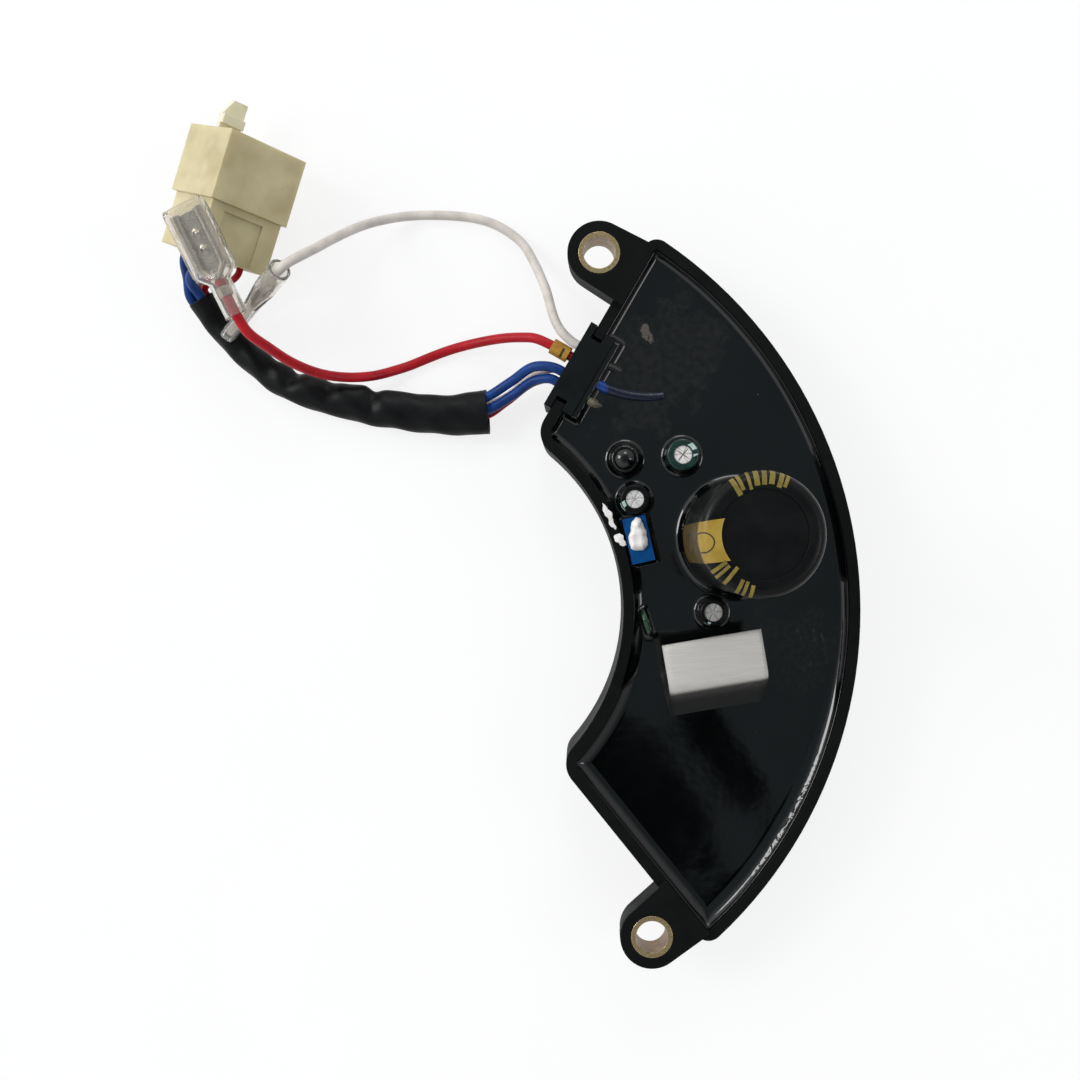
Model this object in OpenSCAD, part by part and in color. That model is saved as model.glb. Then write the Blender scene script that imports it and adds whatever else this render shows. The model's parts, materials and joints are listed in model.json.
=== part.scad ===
// Automatic voltage regulator for a generator end frame: a crescent tray cast full of resin,
// with two bushed ears, a wire gland, tall parts that stand out of the resin and six leads.
// Origin: midway between the fixing holes, on the ears' underside. +Y runs along the holes,
// +X to the outer arc, +Z out of the open side.

/* [Housing] */
// distance between the two fixing holes
hole_spacing = 140; // [120:1:160]
// distance from the line of the holes to the centre of the arcs
hub_offset = 43.3; // [40:0.1:47]
// radius of the outer arc
outer_r = 91.3; // [89:0.1:95]
// radius of the inner arc
inner_r = 42.8; // [39:0.1:45]
// slope of the end walls
end_slope = 55.5; // [54:0.1:57]
// distance of an end wall's face from the radius that it runs along
end_offset = 3.3; // [2.6:0.1:4.2]
// thickness of the tray's walls
wall = 2.2; // [1.8:0.1:3]
// thickness of the tray's floor
floor_t = 2; // [1.5:0.1:2.6]
// height of the rim above the ears' underside
rim_z = 7; // [6:0.1:7.6]
// depth of the tray below the ears' underside
back_depth = 10; // [9.8:0.1:12]
// rounding of the corners at the inner arc
inner_corner_r = 5; // [4:0.1:6]
// rounding of the corners at the outer arc
outer_corner_r = 3; // [2.8:0.1:4]

/* [Ears] */
// thickness of an ear
ear_t = 8; // [7.8:0.1:10]
// radius of an ear round its hole
ear_r = 6.5; // [5.6:0.1:7]
// widening of an ear toward the wall, each side
ear_flare = 0.5; // [0.2:0.1:0.8]
// step at the moulding line halfway up an ear
ear_step = 0.15; // [0.1:0.05:0.3]
// bore of a bush
bush_d = 6.5; // [6.2:0.1:7]
// wall of a bush
bush_wall = 1; // [0.6:0.1:1.3]

/* [Gland] */
// place of the gland's middle along the end wall, from the hub
gland_at = 59.6; // [58:0.1:61]
// length of the gland's outer flange
gland_w = 19.4; // [18:0.1:21]
// length of the gland's inner flange
gland_inner_w = 18; // [16.6:0.1:19]
// width of the notch in the wall
notch_w = 15.2; // [14:0.1:16]
// height of the gland
gland_h = 14.5; // [13:0.1:15.5]
// height of the gland's top above the rim
gland_proud = 0.3; // [0:0.1:1]
// thickness of the outer flange
gland_outer_t = 1.5; // [1:0.1:2]
// thickness of the inner flange
gland_inner_t = 2.2; // [1.6:0.1:2.6]
// clearance between the gland and the wall
gland_gap = 0.1; // [0.05:0.05:0.2]
// clearance between the gland's web and each side of the notch
notch_gap = 0.8; // [0.5:0.1:1.2]
// depth of the notch below the rim
notch_depth = 12; // [11:0.1:13]

/* [Resin and board] */
// level of the flat resin above the ears' underside
resin_z = 4; // [3:0.1:4.8]
// width of the curve that the resin makes at a wall
meniscus_w = 3.4; // [2.6:0.1:4]
// height of that curve
meniscus_h = 2.2; // [1.6:0.1:2.4]
// width of the resin's collar round a part
collar_w = 2; // [1.8:0.1:2.4]
// height of that collar
collar_h = 1.6; // [1:0.1:1.7]
// thickness of the circuit board
board_t = 1.6; // [1.2:0.1:2]
// height of the bosses that carry the board
boss_h = 2; // [1.6:0.1:2.4]
// diameter of a boss
boss_d = 5; // [4:0.1:6]
// clearance between the board and the walls
board_gap = 1; // [0.6:0.1:1.6]

/* [Large capacitor] */
// diameter of the can
can_d = 22.4; // [21:0.1:22.8]
// height of the can
can_h = 45; // [40:0.5:50]
// wall of its sleeve
can_sleeve_t = 0.3; // [0.2:0.1:0.5]
// rounding of the sleeve's top edge
can_edge_r = 2; // [1.4:0.1:2.6]
// width of the sleeve's lip over the top
can_lip = 3; // [2.6:0.1:4]
// thickness of the top disc
can_disc_t = 0.4; // [0.2:0.1:0.6]

/* [Small capacitors] */
// diameter of the green capacitor's can
green_d = 5.9; // [5.5:0.1:6.3]
// diameter of the black capacitor's can
black_d = 5.4; // [5:0.1:6]
// diameter of the lower capacitor's can
lower_d = 4.9; // [4.5:0.1:5.3]
// wall of a small sleeve
small_sleeve_t = 0.3; // [0.2:0.05:0.45]
// height of a small can
small_h = 12.2; // [11.6:0.1:14]
// width of a small sleeve's lip
small_lip = 0.4; // [0.35:0.05:0.8]
// depth of the score on a can's top
score_depth = 0.15; // [0.1:0.05:0.25]
// width of that score
score_w = 0.35; // [0.2:0.05:0.5]
// diameter of the coated capacitor
coated_d = 5.6; // [5:0.1:6.2]

/* [Trimmer] */
// length of the trimmer's body
trimmer_l = 9.5; // [9:0.1:10]
// width of the trimmer's body
trimmer_w = 4.8; // [4.4:0.1:5.2]
// height of the trimmer's body above the board
trimmer_h = 11.4; // [10.8:0.1:12.4]
// turn of the trimmer on the board
trimmer_turn = 8.7; // [4:0.1:12]
// diameter of the adjusting screw
screw_d = 2.2; // [1.8:0.1:2.6]
// distance of the screw from the body's end
screw_inset = 2.4; // [2:0.1:3]
// radius of the sealing dab
dab_r = 2.4; // [2:0.1:2.8]
// height of the sealing dab
dab_h = 1.9; // [1.4:0.1:2.6]

/* [Heat sink] */
// width of the sheet
sink_w = 19.5; // [17:0.1:21]
// thickness of the sheet
sink_t = 1.8; // [1.2:0.1:2.4]
// height of the flange's top above the ears' underside
sink_z = 20; // [18:0.1:23]
// flat length of the flange
sink_flange = 7; // [6:0.1:9]
// outer radius of the bend
sink_bend_r = 3.4; // [3:0.1:4.2]
// slope of the leg
sink_slope = 67; // [64:0.5:72]
// turn of the sheet on the board
sink_turn = 5.3; // [2:0.1:8]

/* [Parts under the resin] */
// width of the power transistor
transistor_w = 10; // [9.6:0.1:10.6]
// length of its metal tab
tab_l = 6; // [5.6:0.1:6.8]
// thickness of its metal tab
tab_t = 1.3; // [1:0.1:1.5]
// length of its package
package_l = 9; // [8.4:0.1:9.4]
// thickness of its package
package_t = 4.4; // [4:0.1:4.8]
// diameter of the screw that clamps the tab
tab_screw_d = 3; // [2.6:0.1:3]
// diameter of a diode
diode_d = 2.7; // [2.4:0.1:3.2]
// length of a diode
diode_l = 5.2; // [4.6:0.1:6]
// wire of a diode
diode_wire = 0.8; // [0.7:0.05:0.9]
// diameter of a resistor
resistor_d = 2.4; // [2:0.1:2.6]
// length of a resistor
resistor_l = 6.4; // [5.6:0.1:7]
// wire of a resistor
resistor_wire = 0.6; // [0.5:0.05:0.7]
// bare wire between a body and its bend
wire_reach = 2; // [1.6:0.1:2.4]
// length of the control chip
chip_l = 9.8; // [9.2:0.1:10.4]
// width of the control chip
chip_w = 6.4; // [6.1:0.1:6.8]
// thickness of the control chip
chip_h = 3.3; // [3:0.1:3.8]
// length of the film capacitor
film_l = 7; // [6:0.1:8]
// thickness of the film capacitor
film_t = 2.4; // [2:0.1:3]
// height of the film capacitor's straight sides
film_h = 8.6; // [8.2:0.1:9.4]

/* [Connector] */
// side of the front block
plug_side = 17.6; // [16:0.1:19]
// length of the front block
plug_front_l = 14; // [13:0.1:15]
// length of the rear block
plug_rear_l = 11; // [9:0.1:12]
// step from the front block to the rear block
plug_step = 0.8; // [0.5:0.1:1.2]
// width of a contact slot
slot_w = 7; // [6.7:0.1:7.4]
// height of a contact slot
slot_h = 3.2; // [2.8:0.1:3.6]
// depth of a contact slot
slot_depth = 10; // [8:0.1:12]
// distance of a slot's middle from the plug's middle
slot_pitch = 4.1; // [4:0.1:4.3]
// depth of the panel in the rear block's side
panel_depth = 0.6; // [0.4:0.1:0.8]
// width of that panel
panel_w = 9; // [7:0.1:11]
// width of the latch
latch_w = 5; // [4:0.1:6]
// thickness of the latch
latch_t = 1.4; // [1:0.1:1.8]
// length of the latch beyond the front face
latch_reach = 8.3; // [5:0.1:9]

/* [Push-on terminals] */
// width of the blade that fits the terminal
blade_w = 6.3; // [6.3:0.1:6.4]
// thickness of that blade
blade_t = 0.8; // [0.7:0.05:0.9]
// thickness of the terminal's sheet
term_t = 0.4; // [0.3:0.05:0.5]
// length of the terminal's rolled part
term_l = 11; // [9:0.1:12]
// radius of its rolled edges
roll_r = 1; // [0.9:0.05:1.1]
// length of the crimp round the lead's cover
crimp_l = 2; // [1.6:0.1:2.4]
// distance of that crimp from the neck's end
crimp_from = 4.2; // [3.6:0.1:4.8]
// length of lead inside the neck
lead_in = 7.6; // [7:0.1:8]
// wall of the clear cover
cover_t = 0.5; // [0.4:0.05:0.7]
// length of the cover's wide part
cover_l = 14; // [12.5:0.1:16]
// length of the cover's neck
neck_l = 8; // [7:0.1:10]
// diameter of the neck
neck_d = 4.6; // [4.3:0.1:5]

/* [Leads] */
// diameter of the white lead
white_d = 2; // [1.6:0.1:2.4]
// diameter of the red lead
red_d = 2.1; // [1.6:0.1:2.4]
// diameter of a blue lead
blue_d = 2.1; // [1.6:0.1:2.2]
// diameter of a thin lead
thin_d = 1.4; // [1.1:0.1:1.7]
// diameter of the yellow marker tube
marker_d = 3.4; // [2.8:0.1:3.8]
// length of the yellow marker tube
marker_l = 4; // [3:0.1:5]

/* [Hidden] */
$fn = 96;
inner_bend_r = 23;
axial_lift = 0.4;
tiny = 0.01;
resin_grip = 1;
resin_sink = 0.12;
back_z = -back_depth;
cavity_z = back_z + floor_t;
board_z = cavity_z + boss_h;
board_top = board_z + board_t;
bush_od = bush_d + 2 * bush_wall;
hole_x = hub_offset * cos(end_slope) + hole_spacing / 2 * sin(end_slope);
hole_y = -hub_offset * sin(end_slope) + hole_spacing / 2 * cos(end_slope);
ear_root = min(hole_x, outer_r - ear_r - ear_flare - outer_corner_r / 2);
inner_x = inner_r - hub_offset;
mid_r = (inner_r + outer_r) / 2;
gland_top = rim_z + gland_proud;
gland_bottom = gland_top - gland_h;
notch_z = rim_z - notch_depth;
web_w = notch_w - 2 * notch_gap;
gland_face = -end_offset + gland_gap + gland_outer_t;
gland_back = -end_offset - wall - gland_gap - gland_inner_t;

// places of the parts on the board
can_at = [inner_x + 24.7, 10];
green_at = [inner_x + 14.4, 27.6];
coated_at = [inner_x + 2.6, 27.8];
black_at = [inner_x + 3.9, 19.3];
lower_at = [inner_x + 18.1, -5];
trimmer_at = [inner_x + 4.1, 11];
film_at = [inner_x + 4.4, -6];
film_turn = 14;
sink_at = [inner_x + 6.4, -10];
chip_at = polar(mid_r + 8.5, -31);
// angles of the diodes and resistors round the hub
diode_angles = [30, 35, 40, 45];
resistor_angles = [-37.5, -41, -44.5, -48];
// places of the board's bosses: distance from the hub, and angle either way
boss_places = [[inner_r + wall + 7.9, 38.6], [outer_r - wall - 2.4, 20.3], [outer_r - wall - 11.7, 48.5]];

// heat sink: where its bend turns, the leg's length, and the tab's hole on it
bend_at = [-sink_flange, sink_z - sink_bend_r];
leg_l = (sink_z - sink_bend_r + sink_bend_r * cos(sink_slope) - board_top - 2.2) / sin(sink_slope);
tab_hole = 2.8;

// white leads that dip into the resin behind the gland
stub_l = 4;
stub_turn = [110, 0, 7];

// place and turn of the connector's front face, rolled onto one long edge
plug_at = [-70.5, 99.2, 3.8];
plug_turn = [47, -5, 67];
rear_side = plug_side - 2 * plug_step;
plug_l = plug_front_l + plug_rear_l;

// the terminals: where the lead enters, and how they are turned
red_term_at = [-73.2, 61.6, 13.6];
red_term_turn = [-8, -8, 110.5];
white_term_at = [-64, 70.2, 13.5];
white_term_turn = [63, 47, 207];
mouth_w = blade_w + 2 * (term_t + cover_t) + 0.9;
mouth_t = 2 * (roll_r + cover_t) + 0.4;
term_w = blade_w + 2 * term_t;
cover_from = neck_l + 1.6;

// routes of the leads: each leaves the gland's face at right angles
white_route = concat(gland_exit(64.6, 1.4, 1.5), [[-8.3, 54.9, 1.3], [-11.8, 66.4, -2.4], [-13.6, 72, -5.6],
    [-16.2, 77.4, -8.2], [-20.2, 81, -9], [-34, 84.8, -9], [-41, 84.8, -8], [-46.5, 83.2, -4.4],
    [-54.4, 77.4, 6], [-57, 74.6, 10.8], [-60, 72.4, 13.6], [-62.2, 71.2, 14.2]],
    neck_points(white_term_at, white_term_turn));
red_route = concat(gland_exit(62, 0, 5.6), [[-14.5, 55, -0.6], [-18, 55.8, -2.5], [-27, 56.2, -7.2],
    [-32, 55.6, -8.6], [-44.5, 52, -8.4], [-50, 50.6, -6], [-60, 51, -0.5], [-64.5, 52.8, 3.5],
    [-68.5, 55.7, 8.8], [-71.8, 58.8, 12.8]], neck_points(red_term_at, red_term_turn));
blue_route_a = concat(gland_exit(58.2, 1.4, 1.5), [[-14.8, 49, 0.2], [-20.5, 46.6, -3],
    [-25, 44, -4.8], [-26, 44, -4.8]]);
blue_route_b = concat(gland_exit(55.9, 0.4, 1.5), [[-14.6, 46.4, -0.9], [-20.5, 43.8, -4],
    [-25, 41.3, -5.1], [-26, 41.3, -5.1]]);
thin_red_route = concat(gland_exit(56.4, -3, 1.5), [[-14.6, 46.4, -4.2], [-22, 42.6, -6.8],
    [-25, 40.4, -7.5], [-26, 40.4, -7.5]]);
thin_white_route = concat(gland_exit(58.6, -3, 1.5), [[-14.6, 48.2, -4.6], [-22, 44.2, -7.4],
    [-25, 42.6, -7.7], [-26, 42.6, -7.7]]);
sleeve_route = [[-26, 41, -6.3], [-32, 41, -6.3], [-39, 41.6, -6.6], [-46, 43, -6.7], [-53, 44.8, -6.7],
    [-60, 46.8, -6.75], [-67, 50, -6.8], [-74, 54.8, -6.9], [-79.8, 60.6, -6.7], [-82.8, 65.1, -5.8],
    [-85.1, 69.6, -4.3]];
sleeve_radii = [4.8, 4.6, 4.4, 4.3, 4.2, 4, 3.8, 3.5, 3.2, 3, 3];
// height of the slack sleeve as a share of its width
sleeve_flat = [0.75, 0.75, 0.75, 0.75, 0.78, 0.8, 0.82, 0.86, 0.92, 1, 1];
sleeve_end = sleeve_route[len(sleeve_route) - 1];
sleeve_dir = unit(sleeve_end - sleeve_route[len(sleeve_route) - 2]);
// how far apart the tails leave the sleeve
tail_spread = 1.5;

function polar(r, a) = [-hub_offset + r * cos(a), r * sin(a)];
function gland_point(along, z) = let (a = end_slope, f = gland_face)
    [-hub_offset + along * cos(a) - f * sin(a), along * sin(a) + f * cos(a), z];
function gland_exit(along, z, out) = let (p = gland_point(along, z))
    [p, p + out * [-sin(end_slope), cos(end_slope), 0]];
// a point of the connector's own frame, in the part's frame
function turn_x(p, a) = [p.x, p.y * cos(a) - p.z * sin(a), p.y * sin(a) + p.z * cos(a)];
function turn_y(p, a) = [p.x * cos(a) + p.z * sin(a), p.y, -p.x * sin(a) + p.z * cos(a)];
function turn_z(p, a) = [p.x * cos(a) - p.y * sin(a), p.x * sin(a) + p.y * cos(a), p.z];
function plug_point(p) = plug_at + turn_z(turn_y(turn_x(p, plug_turn.x), plug_turn.y), plug_turn.z);

// a lead's last two points: at the neck's end, and inside it
function neck_points(at, turn) =
    [at, at + lead_in * turn_z(turn_y(turn_x([1, 0, 0], turn.x), turn.y), turn.z)];

// tube along a route
function unit(v) = v / norm(v);
function along(route, i) = let (n = len(route) - 1)
    unit(route[min(i + 1, n)] - route[max(i - 1, 0)]);
function ring(p, dir, r, flat, sides) = let (side = unit(cross([0, 0, 1], dir)), up = cross(dir, side))
    [for (k = [0:sides - 1]) let (a = 360 * k / sides) p + r * (cos(a) * side + flat * sin(a) * up)];
module tube(route, radii, flats, sides) {
    n = len(route);
    points = [for (i = [0:n - 1]) each ring(route[i], along(route, i), radii[i], flats[i], sides)];
    walls = [for (i = [0:n - 2]) for (k = [0:sides - 1]) let (q = (k + 1) % sides)
        [i * sides + k, (i + 1) * sides + k, (i + 1) * sides + q, i * sides + q]];
    first = [for (k = [0:sides - 1]) k];
    last = [for (k = [sides - 1:-1:0]) (n - 1) * sides + k];
    polyhedron(points, concat(walls, [first, last]), convexity = 6);
}
module lead(route, d) {
    tube(route, [for (p = route) d / 2], [for (p = route) 1], 8);
}

// frames: along the upper end wall, on the board, in the connector, in a terminal
module at_end_wall() {
    translate([-hub_offset, 0, 0]) rotate([0, 0, end_slope]) children();
}
module both_ends() {
    children();
    mirror([0, 1, 0]) children();
}
module on_board(p) {
    translate([p.x, p.y, board_top]) children();
}

// crescent outline, drawn in by inset
module corner_cut(base_r, r, line_y, sign) {
    cx = sqrt((base_r + sign * r) ^ 2 - (line_y - r) ^ 2);
    c = [cx, line_y - r];
    on_line = [cx, line_y];
    on_arc = c * base_r / (base_r + sign * r);
    sharp = [sqrt(base_r ^ 2 - line_y ^ 2), line_y];
    difference() {
        polygon([c, on_line, sharp + (sharp - c) * 0.6, on_arc]);
        translate(c) circle(r);
    }
}
module crescent(inset) {
    ro = outer_r - inset;
    ri = inner_r + inset;
    line_y = -end_offset - inset;
    rc_in = inner_corner_r - inset;
    rc_out = max(outer_corner_r - inset, 0.5);
    difference() {
        translate([-hub_offset, 0]) circle(ro, $fn = 192);
        translate([-hub_offset, 0]) circle(ri, $fn = 192);
        both_ends() at_end_wall() {
            translate([-2 * outer_r, line_y]) square([4 * outer_r, 2 * outer_r]);
            corner_cut(ri, rc_in, line_y, 1);
            corner_cut(ro, rc_out, line_y, -1);
        }
        translate([-hub_offset - 2 * outer_r, -2 * outer_r]) square([2 * outer_r, 4 * outer_r]);
    }
}

module ear_shape(inset) {
    r = ear_r - inset;
    root = -end_offset - wall;
    translate([hole_x, hole_y]) circle(r);
    polygon([[hole_x - r, hole_y], [ear_root - r - ear_flare, root],
        [ear_root + r + ear_flare, root], [hole_x + r, hole_y]]);
}
module bosses() {
    for (b = boss_places, hand = [1, -1]) {
        p = polar(b[0], hand * b[1]);
        translate([p.x, p.y, cavity_z - tiny]) cylinder(d = boss_d, h = boss_h + tiny);
    }
}
module housing() {
    color([0.09, 0.1, 0.1]) {
        difference() {
            union() {
                translate([0, 0, back_z]) linear_extrude(rim_z - back_z) crescent(0);
                both_ends() at_end_wall() {
                    linear_extrude(ear_t / 2) ear_shape(ear_step);
                    translate([0, 0, ear_t / 2]) linear_extrude(ear_t / 2) ear_shape(0);
                }
            }
            translate([0, 0, cavity_z]) linear_extrude(ear_t - cavity_z + 1) crescent(wall);
            both_ends() at_end_wall() translate([hole_x, hole_y, -1]) cylinder(d = bush_od, h = ear_t + 2);
            at_end_wall() translate([gland_at - notch_w / 2, -end_offset - wall - 1, notch_z])
                cube([notch_w, wall + 2, notch_depth + 2]);
        }
        bosses();
    }
}

module bush() {
    difference() {
        cylinder(d = bush_od, h = ear_t);
        translate([0, 0, -1]) cylinder(d = bush_d, h = ear_t + 2);
    }
}
module upper_bush() {
    color([0.8, 0.68, 0.42]) translate([0, hole_spacing / 2, 0]) bush();
}
module lower_bush() {
    color([0.8, 0.68, 0.42]) translate([0, -hole_spacing / 2, 0]) bush();
}

module wire_gland() {
    inner_y = -end_offset - wall - gland_gap;
    color([0.07, 0.07, 0.07]) at_end_wall() translate([gland_at, 0, 0]) {
        translate([-gland_w / 2, -end_offset + gland_gap, gland_bottom])
            cube([gland_w, gland_outer_t, gland_h]);
        translate([-gland_inner_w / 2, gland_back, gland_bottom])
            cube([gland_inner_w, gland_inner_t, gland_h]);
        translate([-web_w / 2, inner_y - tiny, notch_z])
            cube([web_w, wall + 2 * gland_gap + 2 * tiny, gland_top - notch_z]);
    }
}

module circuit_board() {
    notch = gland_inner_w + 2 * board_gap;
    color([0.16, 0.32, 0.18]) translate([0, 0, board_z]) linear_extrude(board_t) difference() {
        crescent(wall + board_gap);
        at_end_wall() translate([gland_at - notch / 2, gland_back - board_gap])
            square([notch, 3 * gland_inner_t]);
    }
}

// concave curve of the resin against an upright face at x = 0, let into that face and into the resin
module resin_curve(w, h) {
    r = (w ^ 2 + h ^ 2) / (2 * h);
    difference() {
        translate([-resin_grip, -resin_grip]) square([w + resin_grip, h + resin_grip]);
        translate([w, r - resin_sink]) circle(r);
    }
}
module resin_collar(p, d) {
    translate([p.x, p.y, resin_z]) rotate_extrude() translate([d / 2, 0]) resin_curve(collar_w, collar_h);
}
module resin_edge() {
    r = (meniscus_w ^ 2 + meniscus_h ^ 2) / (2 * meniscus_h);
    translate([-hub_offset, 0, resin_z]) {
        rotate_extrude($fn = 192) translate([outer_r - wall, 0]) mirror([1, 0])
            resin_curve(meniscus_w, meniscus_h);
        rotate_extrude($fn = 192) translate([inner_r + wall, 0]) resin_curve(meniscus_w, meniscus_h);
    }
    both_ends() at_end_wall() translate([inner_r, -end_offset - wall, resin_z]) difference() {
        translate([0, -meniscus_w, -resin_grip])
            cube([outer_r - inner_r, meniscus_w + resin_grip, meniscus_h + resin_grip]);
        translate([-1, -meniscus_w, r - resin_sink]) rotate([0, 90, 0]) cylinder(r = r, h = outer_r);
    }
}
module potting_resin() {
    color([0.03, 0.03, 0.035]) difference() {
        intersection() {
            translate([0, 0, cavity_z]) linear_extrude(rim_z - cavity_z) crescent(wall);
            union() {
                translate([-outer_r, -outer_r, cavity_z - 1])
                    cube([2 * outer_r, 2 * outer_r, resin_z - cavity_z + 1]);
                resin_edge();
                resin_collar(can_at, can_d + 2 * can_sleeve_t);
                resin_collar(green_at, green_d + 2 * small_sleeve_t);
                resin_collar(coated_at, coated_d);
                resin_collar(black_at, black_d + 2 * small_sleeve_t);
                resin_collar(lower_at, lower_d + 2 * small_sleeve_t);
            }
        }
        bosses();
        circuit_board();
        board_parts();
        at_end_wall() translate([gland_at - gland_inner_w / 2, gland_back, gland_bottom])
            cube([gland_inner_w, gland_inner_t + gland_gap + resin_grip, gland_h]);
    }
}
module board_parts() {
    on_board(can_at) cylinder(d = can_d + 2 * can_sleeve_t, h = can_h);
    on_board(green_at) cylinder(d = green_d + 2 * small_sleeve_t, h = small_h);
    on_board(black_at) cylinder(d = black_d + 2 * small_sleeve_t, h = small_h);
    on_board(lower_at) cylinder(d = lower_d + 2 * small_sleeve_t, h = small_h);
    coated_capacitor();
    trimmer_body();
    film_capacitor();
    heat_sink();
    power_transistor();
    transistor_screw();
    rectifier_diodes();
    control_chip();
    resistors();
    inner_blue_lead();
    inner_white_leads();
}

// capacitors: a can with a crossed score on top, and a sleeve with a lip over the edge
module scored_can(d, h) {
    difference() {
        cylinder(d = d, h = h);
        for (a = [0, 60, 120]) rotate([0, 0, a])
            translate([-d / 2 + small_lip, -score_w / 2, h - score_depth])
                cube([d - 2 * small_lip, score_w, 1]);
    }
}
module sleeve(d, h, t, lip, edge) {
    rotate_extrude() difference() {
        union() {
            square([d / 2 + t, h + t - edge]);
            square([d / 2 + t - edge, h + t]);
            translate([d / 2 + t - edge, h + t - edge]) circle(edge, $fn = 48);
        }
        translate([-1, -1]) square([d / 2 + 1, h + 1]);
        translate([-1, -1]) square([d / 2 - lip + 1, h + t + 2]);
        translate([-3 * d, -1]) square([3 * d, 2 * h]);
    }
}
module main_capacitor_can() {
    color([0.75, 0.75, 0.77]) on_board(can_at) main_can();
}
module main_can() {
    r = can_d / 2;
    edge = can_edge_r - can_sleeve_t;
    h = can_h - can_disc_t;
    rotate_extrude() {
        square([r, h - edge]);
        square([r - edge, h]);
        intersection() {
            translate([r - edge, h - edge]) circle(edge, $fn = 48);
            square([r, h]);
        }
    }
}
module main_capacitor_disc() {
    color([0.05, 0.05, 0.05]) on_board(can_at) translate([0, 0, can_h - can_disc_t])
        cylinder(d = can_d - 2 * can_edge_r, h = can_disc_t);
}
module main_capacitor_sleeve() {
    r = can_d / 2;
    color([0.06, 0.06, 0.06]) on_board(can_at) difference() {
        rotate_extrude() {
            translate([r - tiny, 0]) square([can_sleeve_t + tiny, can_h + can_sleeve_t - can_edge_r]);
            translate([r - can_lip, can_h]) square([can_lip + can_sleeve_t - can_edge_r, can_sleeve_t]);
            intersection() {
                translate([r + can_sleeve_t - can_edge_r, can_h + can_sleeve_t - can_edge_r])
                    circle(can_edge_r, $fn = 48);
                translate([r - can_edge_r, 0]) square([can_edge_r + can_sleeve_t, can_h + can_sleeve_t]);
            }
        }
        main_can();
        translate([0, 0, can_h - can_disc_t]) cylinder(d = can_d - 2 * can_edge_r, h = can_disc_t);
    }
}
module green_capacitor_can() {
    color([0.85, 0.85, 0.86]) on_board(green_at) scored_can(green_d, small_h);
}
module green_capacitor_sleeve() {
    color([0.08, 0.36, 0.3]) on_board(green_at)
        sleeve(green_d, small_h, small_sleeve_t, small_lip, small_sleeve_t);
}
module black_capacitor_can() {
    color([0.85, 0.85, 0.86]) on_board(black_at) scored_can(black_d, small_h);
}
module black_capacitor_sleeve() {
    color([0.06, 0.06, 0.06]) on_board(black_at)
        sleeve(black_d, small_h, small_sleeve_t, small_lip, small_sleeve_t);
}
module lower_capacitor_can() {
    color([0.85, 0.85, 0.86]) on_board(lower_at) scored_can(lower_d, small_h);
}
module lower_capacitor_sleeve() {
    color([0.06, 0.06, 0.06]) on_board(lower_at)
        sleeve(lower_d, small_h, small_sleeve_t, small_lip, small_sleeve_t);
}
module coated_capacitor() {
    r = coated_d / 2;
    color([0.04, 0.04, 0.04]) on_board(coated_at) {
        cylinder(r = r, h = small_h - r);
        translate([0, 0, small_h - r]) sphere(r);
    }
}

// trimmer: the long side lies along Y before its turn
module at_trimmer() {
    on_board(trimmer_at) rotate([0, 0, trimmer_turn]) children();
}
module trimmer_body() {
    color([0.02, 0.33, 0.68]) at_trimmer() difference() {
        translate([-trimmer_w / 2, -trimmer_l / 2, 0]) cube([trimmer_w, trimmer_l, trimmer_h]);
        translate([0, trimmer_l / 2 - screw_inset, trimmer_h - 1]) cylinder(d = screw_d, h = 2);
    }
}
module trimmer_screw() {
    color([0.8, 0.68, 0.42]) at_trimmer() translate([0, trimmer_l / 2 - screw_inset, trimmer_h - 1])
        difference() {
        cylinder(d = screw_d, h = 1.3);
        translate([-screw_d, -0.25, 1]) cube([2 * screw_d, 0.5, 1]);
    }
}
module trimmer_seal() {
    r = (dab_r ^ 2 + dab_h ^ 2) / (2 * dab_h);
    color([0.9, 0.88, 0.86]) difference() {
        at_trimmer() translate([0, 0, trimmer_h]) for (y = [trimmer_l / 2 - screw_inset, 0])
            translate([0, y, 0])
            intersection() {
                translate([0, 0, dab_h - r]) sphere(r);
                cylinder(r = dab_r, h = dab_h);
            }
        trimmer_screw();
    }
}

module film_capacitor() {
    color([0.1, 0.4, 0.15]) on_board(film_at) rotate([0, 0, film_turn]) {
        translate([-film_t / 2, -film_l / 2, 0]) cube([film_t, film_l, film_h]);
        translate([0, film_l / 2, film_h]) rotate([90, 0, 0]) cylinder(d = film_t, h = film_l);
    }
}

// heat sink: a flange, a bend and a sloping leg, drawn in the Y-Z plane
module at_sink() {
    translate([sink_at.x, sink_at.y, 0]) rotate([0, 0, sink_turn]) children();
}
module heat_sink() {
    color([0.75, 0.74, 0.73]) at_sink() rotate([90, 0, 90]) linear_extrude(sink_w) {
        translate([-sink_flange, sink_z - sink_t]) square([sink_flange, sink_t]);
        translate(bend_at) {
            difference() {
                circle(sink_bend_r);
                circle(sink_bend_r - sink_t);
                square(2 * sink_bend_r);
                rotate(90 + sink_slope) square(2 * sink_bend_r);
                translate([-2 * sink_bend_r, -4 * sink_bend_r]) square(4 * sink_bend_r);
            }
            rotate(180 + sink_slope) translate([-tiny, -sink_bend_r]) square([leg_l, sink_t]);
        }
    }
}
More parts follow.
